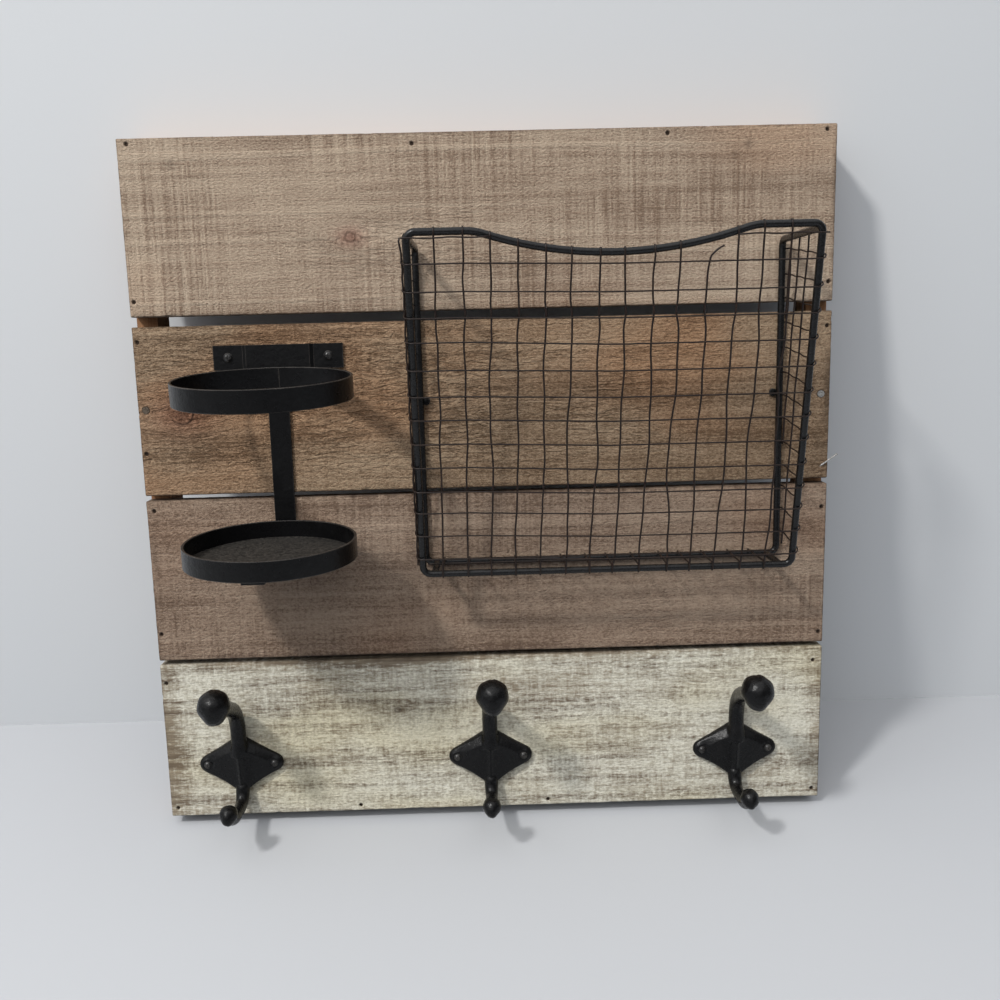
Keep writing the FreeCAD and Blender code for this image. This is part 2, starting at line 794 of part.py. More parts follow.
def diamond_outline(share, y):
    """The plate's outline at depth y: a diamond with its four corners rounded."""
    a = diamond_half_width * share
    b = diamond_half_height * share
    corners = [(a, 0.0, diamond_side_round), (0.0, b, diamond_top_round),
               (-a, 0.0, diamond_side_round), (0.0, -b, diamond_top_round)]
    edges = []
    ends = []
    for index, (x, z, radius) in enumerate(corners):
        before = corners[index - 1]
        after = corners[(index + 1) % len(corners)]
        corner = point(x, y, z)
        arriving = (corner - point(before[0], y, before[1])).normalize()
        leaving = (point(after[0], y, after[1]) - corner).normalize()
        turn = arriving.getAngle(leaving)
        tangent = radius * share * math.tan(turn / 2.0)
        inward = radius * share / math.cos(turn / 2.0) - radius * share
        middle = corner + (leaving - arriving).normalize() * inward
        ends.append((corner - arriving * tangent, middle, corner + leaving * tangent))
    for index, (start, middle, end) in enumerate(ends):
        edges.append(arc(start, middle, end))
        edges.append(line(end, ends[(index + 1) % len(ends)][0]))
    return Part.Wire(edges)


def make_hook_plate():
    """The cast diamond with sloping sides and an upright ridge down its middle, back face at y 0."""
    body = Part.makeLoft([diamond_outline(1.0, 0.0),
                          diamond_outline(diamond_front_share, -diamond_ridge_thickness)], True, True)
    a = diamond_half_width
    b = diamond_half_height
    section = [point(-a, 0.0, -b), point(a, 0.0, -b), point(a, -diamond_tip_thickness, -b),
               point(0.0, -diamond_ridge_thickness, -b), point(-a, -diamond_tip_thickness, -b)]
    ridge = Part.Face(Part.makePolygon(section + section[:1])).extrude(UP * (2.0 * b))
    return body.common(ridge)


def make_knob(centre, axis, radius, length, neck_radius):
    """A pear-shaped knob turned about axis: narrow at the neck, widest past the middle, blunt in front."""
    half = length / 2.0
    neck = point(neck_radius, 0, -half)
    swell = point(radius * knob_swell_share, 0, half * knob_swell_at)
    widest = point(radius, 0, half * knob_widest_at)
    shoulder = point(radius * knob_shoulder_share, 0, half * knob_shoulder_at)
    tip = point(radius * knob_tip_share, 0, half)
    edges = [
        line(point(0, 0, -half), neck),
        arc(neck, swell, widest),
        arc(widest, shoulder, tip),
        line(tip, point(0, 0, half)),
        line(point(0, 0, half), point(0, 0, -half)),
    ]
    knob = Part.Face(Part.Wire(edges)).revolve(point(0, 0, 0), UP, 360.0)
    knob.Placement = FreeCAD.Placement(centre, FreeCAD.Rotation(UP, axis))
    return knob


def hook_arm_ends():
    """The knobs' middles and directions, from the plate's middle on its back face."""
    turn = math.radians(upper_arm_turn)
    bend_end_y = -upper_arm_stand - upper_arm_bend * (1.0 - math.cos(turn))
    bend_end_z = upper_arm_straight + upper_arm_bend * math.sin(turn)
    upper_axis = point(0, -math.sin(turn), math.cos(turn))
    upper_end = point(0, bend_end_y, bend_end_z) + upper_axis * upper_arm_reach
    curl = math.radians(lower_arm_curl_turn)
    level_y = -lower_arm_stand - lower_arm_bend - lower_arm_level
    level_z = -lower_arm_drop - lower_arm_bend
    lower_axis = point(0, -math.cos(curl), math.sin(curl))
    lower_end = point(0, level_y - lower_arm_curl * math.sin(curl),
                      level_z + lower_arm_curl * (1.0 - math.cos(curl)))
    return upper_end, upper_axis, lower_end, lower_axis


def make_upper_arm():
    upper_end, upper_axis, _, _ = hook_arm_ends()
    turn = math.radians(upper_arm_turn)
    root_stand, root_up = upper_arm_root
    root = [point(0, -root_stand, root_up), point(0, -upper_arm_stand, upper_arm_knee)]
    bend_start = point(0, -upper_arm_stand, upper_arm_straight)
    bend_centre = bend_start + TOWARDS_ROOM * upper_arm_bend
    bend_middle = bend_centre + point(0, math.cos(turn / 2.0), math.sin(turn / 2.0)) * upper_arm_bend
    bend_end = bend_centre + point(0, math.cos(turn), math.sin(turn)) * upper_arm_bend
    edges = bent_edges(root + [bend_start], upper_arm_knee_bend)
    edges += [arc(bend_start, bend_middle, bend_end), line(bend_end, upper_end)]
    return rod_along(edges, upper_arm_radius)


def make_lower_arm():
    _, _, lower_end, _ = hook_arm_ends()
    start = point(0, -lower_arm_stand, lower_arm_start)
    drop_end = point(0, -lower_arm_stand, -lower_arm_drop)
    bend_centre = drop_end + TOWARDS_ROOM * lower_arm_bend
    half_turn = math.radians(lower_arm_bend_turn / 2.0)
    bend_middle = bend_centre + point(0, math.cos(half_turn), -math.sin(half_turn)) * lower_arm_bend
    bend_end = bend_centre + point(0, 0, -lower_arm_bend)
    level_end = bend_end + TOWARDS_ROOM * lower_arm_level
    half_curl = math.radians(lower_arm_curl_turn / 2.0)
    curl_middle = level_end + point(0, -math.sin(half_curl), 1.0 - math.cos(half_curl)) * lower_arm_curl
    return rod_along([line(start, drop_end), arc(drop_end, bend_middle, bend_end), line(bend_end, level_end),
                      arc(level_end, curl_middle, lower_end)], lower_arm_radius)


def make_hook(x):
    upper_end, upper_axis, lower_end, lower_axis = hook_arm_ends()
    casting = make_hook_plate().fuse(make_upper_arm())
    casting = casting.fuse(make_lower_arm())
    casting = casting.fuse(make_knob(upper_end, upper_axis, upper_knob_radius, upper_knob_length, upper_arm_radius))
    casting = casting.fuse(make_knob(lower_end, lower_axis, lower_knob_radius, lower_knob_length, lower_arm_radius))
    behind = block((-diamond_half_width, 0.0, -2.0 * diamond_half_width),
                   (diamond_half_width, 2.0 * upper_arm_radius, 2.0 * diamond_half_width))
    casting = casting.cut(behind)
    casting.translate(hook_centre(x))
    for seat in hook_screw_seats(x):
        hole = Part.makeCylinder(hook_screw_radius + fit_clearance, diamond_tip_thickness, seat, TOWARDS_WALL)
        spot = Part.makeCylinder(hook_screw_head_radius + 4.0 * fit_clearance, diamond_ridge_thickness,
                                 seat, TOWARDS_ROOM)
        casting = casting.cut(hole).cut(spot)
    return casting.removeSplitter()


def save(name, shape):
    shape.exportStep("parts/" + name + ".step")


def main():
    os.makedirs("parts", exist_ok=True)
    holes = front_holes()
    frame_holes = [frame_nail(*row, spare=fit_clearance) for row in frame_nail_rows()]
    hanger_seats = hanger_nail_seats(LEFT) + hanger_nail_seats(RIGHT)
    hanger_holes = [hanger_nail(seat, fit_clearance) for seat in hanger_seats]

    for index, name in enumerate(board_names):
        save(name, make_board(index, holes))
    strip_holes = holes + frame_holes + hanger_holes
    save("side_strip_left", make_side_strip(LEFT, strip_holes))
    save("side_strip_right", make_side_strip(RIGHT, strip_holes))
    pockets = [hanger_pocket(side) for side in (LEFT, RIGHT)]
    save("rail_top", make_rail(panel_top - strip_face, strip_holes + pockets))
    save("rail_bottom", make_rail(panel_bottom, strip_holes))
    save("board_brads", group([board_brad(x, z) for x, z in brad_places()]))
    save("wide_nail_left", wide_nail(wide_nail_shares[0]))
    save("wide_nail_right", wide_nail(wide_nail_shares[1]))
    save("stray_brad", stray_brad())
    save("frame_nails", group([frame_nail(*row) for row in frame_nail_rows()]))

    save("hanger_left", make_hanger(LEFT))
    save("hanger_right", make_hanger(RIGHT))
    save("hanger_nails", group([hanger_nail(seat) for seat in hanger_seats]))

    save("holder_plate", make_holder_plate())
    strap = make_strap()
    save("holder_strap", strap)
    save("holder_ring", make_ring(strap))
    save("dish_rim", make_dish_rim())
    save("dish_floor", make_dish_floor())
    save("holder_screws", group([pan_screw(seat, holder_screw_radius, holder_screw_length,
                                           holder_screw_head_radius, holder_screw_head_height)
                                 for seat in holder_screw_seats()]))

    hoop = make_hoop()
    back_rod = make_back_rod(hoop)
    save("basket_hoop", hoop)
    save("basket_back_rod", back_rod)
    save("basket_bottom_rod_left", make_bottom_rod(LEFT, hoop, back_rod))
    save("basket_bottom_rod_right", make_bottom_rod(RIGHT, hoop, back_rod))
    save("mesh_front", make_front_mesh())
    save("mesh_left", make_side_mesh(LEFT))
    save("mesh_right", make_side_mesh(RIGHT))
    save("mesh_floor", make_floor_mesh())
    left_eye, right_eye = eye_centres()
    save("basket_eye_left", make_eye(left_eye, back_rod))
    save("basket_eye_right", make_eye(right_eye, back_rod))
    save("basket_screws", group([pan_screw(seat, eye_screw_radius, eye_screw_length,
                                           eye_screw_head_radius, eye_screw_head_height)
                                 for seat in eye_centres()]))

    for name, x in zip(hook_names, hook_places):
        save(name, make_hook(x))
    save("hook_screws", group([pan_screw(seat, hook_screw_radius, hook_screw_length,
                                         hook_screw_head_radius, hook_screw_head_height)
                               for x in hook_places for seat in hook_screw_seats(x)]))


main()
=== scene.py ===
"""Looks of the wall organizer: worn boards, wire basket, pot holder and cast coat hooks."""
import math
import bpy
import numpy as np
from mathutils import Euler, Matrix, Vector


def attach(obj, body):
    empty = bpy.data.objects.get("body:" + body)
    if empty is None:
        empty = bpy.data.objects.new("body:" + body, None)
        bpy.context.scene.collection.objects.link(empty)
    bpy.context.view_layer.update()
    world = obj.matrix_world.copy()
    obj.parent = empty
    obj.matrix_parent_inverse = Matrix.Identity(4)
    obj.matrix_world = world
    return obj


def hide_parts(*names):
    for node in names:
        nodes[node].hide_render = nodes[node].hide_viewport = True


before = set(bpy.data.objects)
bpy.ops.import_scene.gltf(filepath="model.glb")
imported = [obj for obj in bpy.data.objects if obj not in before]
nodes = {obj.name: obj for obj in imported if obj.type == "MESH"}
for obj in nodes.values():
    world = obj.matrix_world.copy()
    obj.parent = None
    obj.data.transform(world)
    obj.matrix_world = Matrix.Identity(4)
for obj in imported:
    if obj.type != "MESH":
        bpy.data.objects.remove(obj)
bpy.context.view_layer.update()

# Numbers of the object that the scene repeats, in millimetres
board_half_length = 287.5
board_front_y = -48.0
board_back_y = -32.0
board_spans = {
    "board_top": (-131.2, 8.5),
    "board_upper": (-278.5, -138.8),
    "board_lower": (-422.4, -282.7),
    "board_hooks": (-565.9, -426.2),
}
brad_places = (
    (-279.3, 4.0), (-283.5, -118.8), (-283.5, -151.2), (-283.5, -243.0), (-281.1, -291.4),
    (-283.5, -398.7), (-283.1, -443.0), (-281.5, -558.2), (279.3, 4.0), (283.5, -115.6),
    (283.5, -151.2), (283.1, -303.0), (283.5, -413.3), (279.6, -439.1), (281.5, -558.2),
    (-53.5, -0.1), (151.0, 3.5), (-120.2, -560.9), (46.0, -560.9),
)
wide_nail_places = ((-281.0, -206.6), (279.9, -207.3))
# Pits that the nails sit in: x, z, radius, depth
nail_pits = [(x, z, 1.6, 1.6) for x, z in brad_places] + [(x, z, 3.1, 1.3) for x, z in wide_nail_places]

basket_x = 95.0
basket_half_width = 149.0
hoop_bottom_y = -93.8
basket_bottom_z = -340.9
basket_slant = math.atan2(54.5, 262.5)
hoop_height = 268.1
back_rod_y = -50.8
arm_z = -81.4
rod_radius = 2.8
wire_upright_radius = 0.75
wire_cross_radius = 0.6
upright_layer = rod_radius + wire_upright_radius
cross_layer = upright_layer + wire_upright_radius + wire_cross_radius
scoop_half_width = 107.0
scoop_depth = 17.0
scoop_shoulder_radius = 40.0

mm = 0.001


# Repeatable smooth noise for shapes
def hashed(ix, iz, seed):
    """A repeatable value from 0 to 1 for each pair of whole numbers."""
    mixed = np.sin(ix * 127.1 + iz * 311.7 + seed * 74.7) * 43758.5453
    return mixed - np.floor(mixed)


def smooth_noise(u, v, seed):
    """Value noise from 0 to 1 with one feature per unit."""
    iu = np.floor(u)
    iv = np.floor(v)
    fu = u - iu
    fv = v - iv
    fu = fu * fu * (3.0 - 2.0 * fu)
    fv = fv * fv * (3.0 - 2.0 * fv)
    low = hashed(iu, iv, seed) * (1.0 - fu) + hashed(iu + 1.0, iv, seed) * fu
    high = hashed(iu, iv + 1.0, seed) * (1.0 - fu) + hashed(iu + 1.0, iv + 1.0, seed) * fu
    return low * (1.0 - fv) + high * fv


def layered_noise(u, v, seed, layers=3):
    """Several sizes of value noise together, from 0 to 1."""
    total = np.zeros_like(u)
    weight = 1.0
    weights = 0.0
    for layer in range(layers):
        size = 2.0 ** layer
        total += weight * smooth_noise(u * size, v * size, seed + 13 * layer)
        weights += weight
        weight *= 0.5
    return total / weights


def soft_step(low, high, value):
    """0 below low, 1 above high and smooth between."""
    share = np.clip((value - low) / (high - low), 0.0, 1.0)
    return share * share * (3.0 - 2.0 * share)


def spot(x, z, middle_x, middle_z, wide, tall, power=2):
    """1 at a place and less around it, over an oval of that width and height."""
    return np.exp(-((x - middle_x) / wide) ** power - ((z - middle_z) / tall) ** power)


# Helpers that write shader nodes in few words
def put(tree, value, socket):
    """Links a socket to another, or gives it a plain value."""
    if isinstance(value, bpy.types.NodeSocket):
        tree.links.new(value, socket)
    else:
        socket.default_value = value


def add_node(tree, kind, output, inputs, **settings):
    """A new shader node with its settings and inputs; the result is one of its output sockets."""
    made = tree.nodes.new("ShaderNode" + kind)
    for name, value in settings.items():
        setattr(made, name, value)
    for name, value in inputs.items():
        put(tree, value, made.inputs[name])
    return made.outputs[output]


def linear(*colour):
    """A screen colour from 0 to 255 as the shader's own value."""
    shares = [value / 255.0 for value in colour]
    return (*[s / 12.92 if s <= 0.04045 else ((s + 0.055) / 1.055) ** 2.4 for s in shares], 1.0)


class Shader:
    """One material's nodes. Each method returns the socket that carries its result."""

    def __init__(self, name, seed=0.0):
        self.material = bpy.data.materials.new(name)
        self.material.use_nodes = True
        self.tree = self.material.node_tree
        self.surface = self.tree.nodes["Principled BSDF"]
        self.shift = (seed * 3.1, seed * 1.7, seed * 2.3)

    def node(self, kind, output, inputs, **settings):
        return add_node(self.tree, kind, output, inputs, **settings)

    def attribute(self, name, output="Fac"):
        return self.node("Attribute", output, {}, attribute_name=name)

    def place(self):
        return self.node("TexCoord", "Object", {})

    def noise(self, vector, scale, detail=2.0, roughness=0.5, distortion=0.0):
        inputs = {"Vector": vector, "Scale": scale, "Detail": detail, "Roughness": roughness}
        inputs["Distortion"] = distortion
        return self.node("TexNoise", "Fac", inputs)

    def stretched(self, vector, factors, shift, *noise_values):
        """Noise with a scale of its own along each axis."""
        inputs = {0: vector, 1: factors, 2: shift}
        return self.noise(self.node("VectorMath", 0, inputs, operation="MULTIPLY_ADD"), 1.0, *noise_values)

    def grained(self, factors, *noise_values):
        """Noise that follows the board's grain."""
        return self.stretched(self.attribute("grain", "Vector"), factors, self.shift, *noise_values)

    def math(self, operation, a, b, clamp=False):
        return self.node("Math", 0, {0: a, 1: b}, operation=operation, use_clamp=clamp)

    def times(self, a, b, clamp=False):
        return self.math("MULTIPLY", a, b, clamp)

    def spread(self, value, low, high, out_low=0.0, out_high=1.0, kind="SMOOTHSTEP"):
        inputs = {"Value": value, "From Min": low, "From Max": high, "To Min": out_low, "To Max": out_high}
        return self.node("MapRange", "Result", inputs, interpolation_type=kind)

    def ramp(self, value, low, high):
        return self.spread(value, low, high, kind="LINEAR")

    def mix(self, share, a, b, blend="MIX"):
        return self.node("Mix", 2, {0: share, 6: a, 7: b}, data_type="RGBA", blend_type=blend)

    def stained(self, colour, share, stain):
        """The colour multiplied by a screen colour over part of the surface."""
        return self.mix(share, colour, linear(*stain), "MULTIPLY")

    def sum(self, *pairs):
        total = None
        for value, weight in pairs:
            part = self.times(value, weight)
            total = part if total is None else self.math("ADD", total, part)
        return total

    def bump(self, height, distance, strength=1.0):
        return self.node("Bump", "Normal", {"Distance": distance, "Strength": strength, "Height": height})

    def finish(self, colour, roughness, normal, specular=0.5, metallic=0.0):
        values = {"Base Color": colour, "Roughness": roughness, "Normal": normal, "Metallic": metallic}
        values["Specular IOR Level"] = specular
        for name, value in values.items():
            put(self.tree, value, self.surface.inputs[name])
        return self.material


# Wood
def board_wood(name, tones, seed, saw, torn, warmth):
    """Rough sawn softwood, greyed and handled: grain, saw marks, fuzz, stains and dark marks, the dark marks
    partly painted shade.
    """
    s = Shader(name, seed)
    light, middle, dark = [linear(*tone) for tone in tones]
    grain = s.attribute("grain", "Vector")
    fibres = s.grained((30.0, 700.0, 760.0), 3.0, 0.6)
    lines = s.grained((4.0, 150.0, 170.0), 3.0, 0.55)
    bands = s.grained((2.2, 30.0, 34.0))
    stains = s.grained((6.0, 9.0, 14.0), 3.0, 0.6)
    fuzz = s.grained((430.0, 640.0, 700.0), 3.0, 0.75)
    saw_lines = s.grained((300.0, 9.0, 9.0), 3.0, 0.65)
    saw_patch = s.grained((9.0, 9.0, 13.0))
    saw_cut = s.times(s.math("SUBTRACT", saw_lines, 0.5), s.spread(saw_patch, 0.32, 0.62, 0.15, 0.8))
    tears = s.grained((62.0, 220.0, 300.0), 3.0, 0.6, 0.9)
    tear_cut = s.times(s.math("SUBTRACT", s.spread(tears, 0.44, 0.60), 0.5), s.attribute("torn"))
    pale = s.stretched(grain, (1.3, 60.0, 95.0), (seed * 2.1, 3.0, seed), 2.0, 0.4)
    pale = s.spread(pale, 0.60, 0.68)
    depth = s.sum((fibres, 0.40), (lines, 0.45), (bands, 0.40), (fuzz, 1.15), (stains, 0.65),
                  (saw_cut, 1.25 * saw), (tear_cut, 0.20 * torn), (pale, -0.10))
    tone = s.ramp(depth, 1.27, 1.74)
    colour = s.mix(s.ramp(tone, 0.5, 1.0), s.mix(s.ramp(tone, 0.0, 0.5), light, middle), dark)
    warm = s.stretched(grain, (4.0, 7.0, 9.0), (seed * 5.3, 0.0, 1.0))
    colour = s.stained(colour, s.times(s.spread(warm, 0.5, 0.75), warmth), (255, 226, 204))
    colour = s.stained(colour, s.times(s.attribute("halo"), 0.75, True), (206, 170, 168))
    # Dark marks: knot rings and darker spots, and painted shade in the nail pits, along the edges and on the
    # right ends
    colour = s.stained(colour, s.times(s.attribute("mark"), 0.95, True), (58, 42, 38))
    height = s.sum((fibres, 0.35), (lines, 0.25), (fuzz, 1.2), (saw_cut, 1.2 * saw),
                   (tear_cut, -0.8 * torn), (pale, 0.2))
    return s.finish(colour, s.spread(fibres, 0.3, 0.7, 0.78, 0.95), s.bump(height, 0.0018), 0.22)


def washed_wood(name, seed):
    """Board brushed with a thin cream wash that leaves the brown grain showing."""
    s = Shader(name, seed)
    fibres = s.grained((110.0, 520.0, 620.0), 3.0, 0.66)
    lines = s.grained((9.0, 150.0, 190.0), 3.0, 0.6)
    weave = s.grained((360.0, 30.0, 50.0), 2.0, 0.6)
    fuzz = s.grained((360.0, 420.0, 620.0), 2.0, 0.7)
    patch = s.grained((9.0, 9.0, 22.0), 3.0, 0.6)
    cover = s.sum((fibres, 0.9), (lines, 0.75), (weave, 0.5), (fuzz, 0.45), (patch, 0.75),
                  (s.attribute("worn"), 0.42))
    share = s.ramp(cover, 1.54, 2.00)
    wood = s.mix(s.spread(lines, 0.35, 0.7), linear(158, 145, 124), linear(112, 98, 82))
    wash = s.mix(s.spread(fuzz, 0.3, 0.7), linear(232, 228, 212), linear(204, 199, 180))
    colour = s.mix(share, wash, wood)
    yellow = s.stretched(s.attribute("grain", "Vector"), (5.0, 7.0, 12.0), (seed * 5.3, 0.0, 1.0))
    colour = s.stained(colour, s.times(s.spread(yellow, 0.48, 0.72), 0.5), (238, 228, 196))
    # Dark marks: the knot and a dark dot, and painted shade in the nail pits and along the edges
    colour = s.stained(colour, s.times(s.attribute("mark"), 0.9, True), (84, 66, 52))
    height = s.sum((fibres, 0.7), (lines, 0.5), (fuzz, 0.5), (weave, 0.4))
    return s.finish(colour, s.spread(share, 0.0, 1.0, 0.66, 0.9), s.bump(height, 0.0010, 0.8), 0.3)


def frame_wood(name, along):
    """Plain pine of the hidden frame, with its grain along one axis."""
    s = Shader(name)
    fine = [620.0, 620.0, 620.0]
    broad = [120.0, 120.0, 120.0]
    fine[along] = 18.0
    broad[along] = 4.0
    fibres = s.stretched(s.place(), fine, s.shift, 3.0, 0.6)
    lines = s.stretched(s.place(), broad, s.shift, 3.0)
    fuzz = s.noise(s.place(), 480.0, 2.0, 0.7)
    tone = s.ramp(s.sum((fibres, 0.4), (lines, 0.8), (fuzz, 0.4)), 0.55, 1.05)
    colour = s.mix(tone, linear(176, 134, 98), linear(118, 80, 54))
    normal = s.bump(s.sum((fibres, 0.6), (fuzz, 0.5)), 0.0005, 0.5)
    return s.finish(colour, s.spread(fibres, 0.3, 0.7, 0.75, 0.92), normal, 0.25)


# Metals
def black_paint(name, base, worn, roughness, dust, grit=0.5, gloss=0.2, edge=0.35):
    """Satin black coat: faint lumps, rubbed places, edges lighter from worn paint and a painted highlight,
    and dust on what faces up.
    """
    s = Shader(name)
    place = s.place()
    lumps = s.noise(place, 260.0, 3.0, 0.6)
    grain = s.noise(place, 1400.0, 2.0, 0.6)
    patch = s.noise(place, 45.0, 3.0, 0.65)
    rubbed = s.times(s.spread(patch, 0.52, 0.72), s.spread(grain, 0.42, 0.64))
    facing = s.node("NewGeometry", "Normal", {})
    upward = s.spread(s.node("SeparateXYZ", 2, {0: facing}), 0.35, 0.95)
    settled = s.times(upward, s.spread(s.noise(place, 380.0, 6.0, 0.8), 0.38, 0.64, 0.1, 1.0))
    rounded = s.node("Bevel", "Normal", {"Radius": 0.0007}, samples=4)
    closeness = s.node("VectorMath", "Value", {0: rounded, 1: facing}, operation="DOT_PRODUCT")
    worn_and_highlit_edge = s.times(s.spread(closeness, 0.995, 0.90), s.spread(patch, 0.35, 0.6, 0.4, 1.0))
    colour = s.mix(rubbed, linear(*base), linear(*worn))
    colour = s.mix(s.times(settled, dust), colour, linear(120, 114, 106))
    # Lighter edges: partly worn paint, partly a painted highlight along every edge
    colour = s.mix(s.times(worn_and_highlit_edge, edge), colour, linear(118, 112, 106))
    shine = s.math("ADD", s.sum((lumps, 0.16), (patch, 0.14)), roughness - 0.15)
    shine = s.math("ADD", shine, s.times(settled, 0.3 * dust), True)
    return s.finish(colour, shine, s.bump(s.sum((lumps, 1.0), (grain, 0.25)), 0.0005, grit), gloss)


def bare_steel(name, tone, rough):
    """Zinc-dull steel of nails and hangers."""
    s = Shader(name)
    patch = s.noise(s.place(), 600.0, 3.0, 0.65)
    fine = s.noise(s.place(), 2600.0)
    colour = s.mix(s.spread(patch, 0.35, 0.7), linear(*tone), linear(*[value * 0.62 for value in tone]))
    normal = s.bump(s.sum((patch, 0.7), (fine, 0.4)), 0.0003, 0.4)
    return s.finish(colour, s.spread(patch, 0.3, 0.7, rough, rough + 0.2), normal, metallic=0.85)


# Values of each board wood: light, middle and dark tone, seed, saw marks, torn grain, warmth
top_tones = ((200, 180, 157), (177, 156, 135), (138, 116, 97))
upper_tones = ((178, 154, 127), (152, 128, 103), (112, 90, 69))
lower_tones = ((178, 156, 135), (154, 132, 113), (116, 95, 79))
top_wood = board_wood("worn_wood_top", top_tones, 1.0, 1.0, 0.4, 0.5)
upper_wood = board_wood("worn_wood_upper", upper_tones, 2.0, 0.3, 1.0, 0.7)
lower_wood = board_wood("worn_wood_lower", lower_tones, 3.0, 0.6, 0.4, 0.5)
wash_wood = washed_wood("washed_wood", 4.0)
strip_wood = frame_wood("frame_wood_upright", 2)
rail_wood = frame_wood("frame_wood_level", 0)
# Values of each black coat: colour, rubbed colour, roughness, dust, grit, gloss, worn and painted-highlight
# edges
basket_black = black_paint("basket_black", (9, 9, 10), (24, 22, 21), 0.27, 0.08, 0.5, 0.34)
wire_black = black_paint("wire_black", (30, 19, 14), (58, 40, 29), 0.42, 0.05, 0.3, 0.3, 0.0)
holder_black = black_paint("holder_black", (10, 10, 11), (28, 28, 28), 0.30, 0.10, 0.6, 0.2, 0.5)
dish_black = black_paint("dish_black", (13, 13, 13), (34, 32, 30), 0.6, 0.26, edge=0.3)
cast_black = black_paint("cast_black", (8, 8, 9), (22, 21, 21), 0.27, 0.05, 0.8, 0.21, 0.12)
screw_black = black_paint("screw_black", (18, 18, 19), (60, 58, 56), 0.30, 0.12, 0.3, 0.5, 0.5)
eye_black = black_paint("eye_black", (9, 9, 9), (22, 20, 19), 0.5, 0.05, 0.3, 0.1, 0.0)
brad_steel = bare_steel("brad_steel", (64, 52, 44), 0.5)
dull_steel = bare_steel("dull_steel", (112, 100, 88), 0.5)
bright_steel = bare_steel("bright_steel", (196, 194, 190), 0.3)
hanger_metal = bare_steel("hanger_metal", (178, 172, 160), 0.34)


def dress(material, *names):
    """Gives CAD nodes a finished material."""
    for name in names:
        for place in nodes[name].material_slots:
            place.material = material


dress(strip_wood, "side_strip_left", "side_strip_right")
dress(rail_wood, "rail_top", "rail_bottom")
dress(basket_black, "basket_hoop", "basket_back_rod", "basket_bottom_rod_left", "basket_bottom_rod_right")
dress(holder_black, "holder_plate")
dress(screw_black, "holder_screws", "hook_screws")
dress(brad_steel, "board_brads", "frame_nails", "hanger_nails")
dress(dull_steel, "wide_nail_left")
dress(bright_steel, "wide_nail_right", "stray_brad")
dress(hanger_metal, "hanger_left", "hanger_right")


# Mesh pieces
def placed(name, data):
    """A new object of the scene."""
    made = bpy.data.objects.new(name, data)
    bpy.context.scene.collection.objects.link(made)
    return made


def mesh_piece(name, vertices, faces, material, slot_name, node_names, smooth=True):
    """A piece in metres from points in millimetres, in place of CAD nodes."""
    data = bpy.data.meshes.new(name)
    data.from_pydata([tuple(v) for v in (np.asarray(vertices) * mm).tolist()], [], faces)
    data.validate()
    if smooth:
        data.polygons.foreach_set("use_smooth", [True] * len(data.polygons))
    data.materials.append(material)
    made = placed(name, data)
    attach(made, "root")
    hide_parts(*node_names)
    return made


def round_angles(count):
    """Evenly spread angles over one turn."""
    return np.arange(count) * 2.0 * math.pi / count


def ring_faces(rings, count, start=0, flip=False, closed=False):
    """Quads between neighbouring rings of count points; closed joins the last ring to the first."""
    faces = []
    for ring in range(rings if closed else rings - 1):
        low = start + ring * count
        high = start + (ring + 1) % rings * count
        for number in range(count):
            other = (number + 1) % count
            a, b, c, d = low + number, low + other, high + other, high + number
            faces.append((a, d, c, b) if flip else (a, b, c, d))
    return faces


def bar_faces(rings, count, flip=False):
    """Faces of a bar: its rings and a flat cap at both ends."""
    first = tuple(range(count))
    last = tuple(range((rings - 1) * count, rings * count))
    caps = [first, last[::-1]] if flip else [first[::-1], last]
    return ring_faces(rings, count, flip=flip) + caps


def domed_faces(rings, count, flip=False):
    """Faces of a form with one point before its first ring and one after its last."""
    faces = ring_faces(rings, count, 1, flip)
    end = 1 + rings * count
    for number in range(count):
        other = (number + 1) % count
        fans = ((0, 1 + other, 1 + number), (end - count + number, end - count + other, end))
        faces += [fan[::-1] if flip else fan for fan in fans]
    return faces


def merged(parts):
    """Points and faces of several parts as one list of each."""
    points = []
    faces = []
    count = 0
    for more, polygons in parts:
        points.append(more)
        faces += [tuple(value + count for value in face) for face in polygons]
        count += len(more)
    return np.concatenate(points), faces


# Boards
def filled_lines(low, high, step, near):
    """Grid lines from low to high: an even step, closer at both ends and round each place in near."""
    lines = list(np.linspace(low, high, int(round((high - low) / step)) + 1))
    for offset in (0.35, 0.8, 1.4):
        lines += [low + offset, high - offset]
    for place, reach in near:
        lines = [value for value in lines if abs(value - place) > reach or value in (low, high)]
        fine = place + np.arange(-reach, reach + 0.01, 0.5)
        lines += [value for value in fine if low < value < high]
    result = [low]
    for value in sorted(lines):
        if value - result[-1] >= 0.24:
            result.append(value)
    result[-1] = high
    return np.array(result)


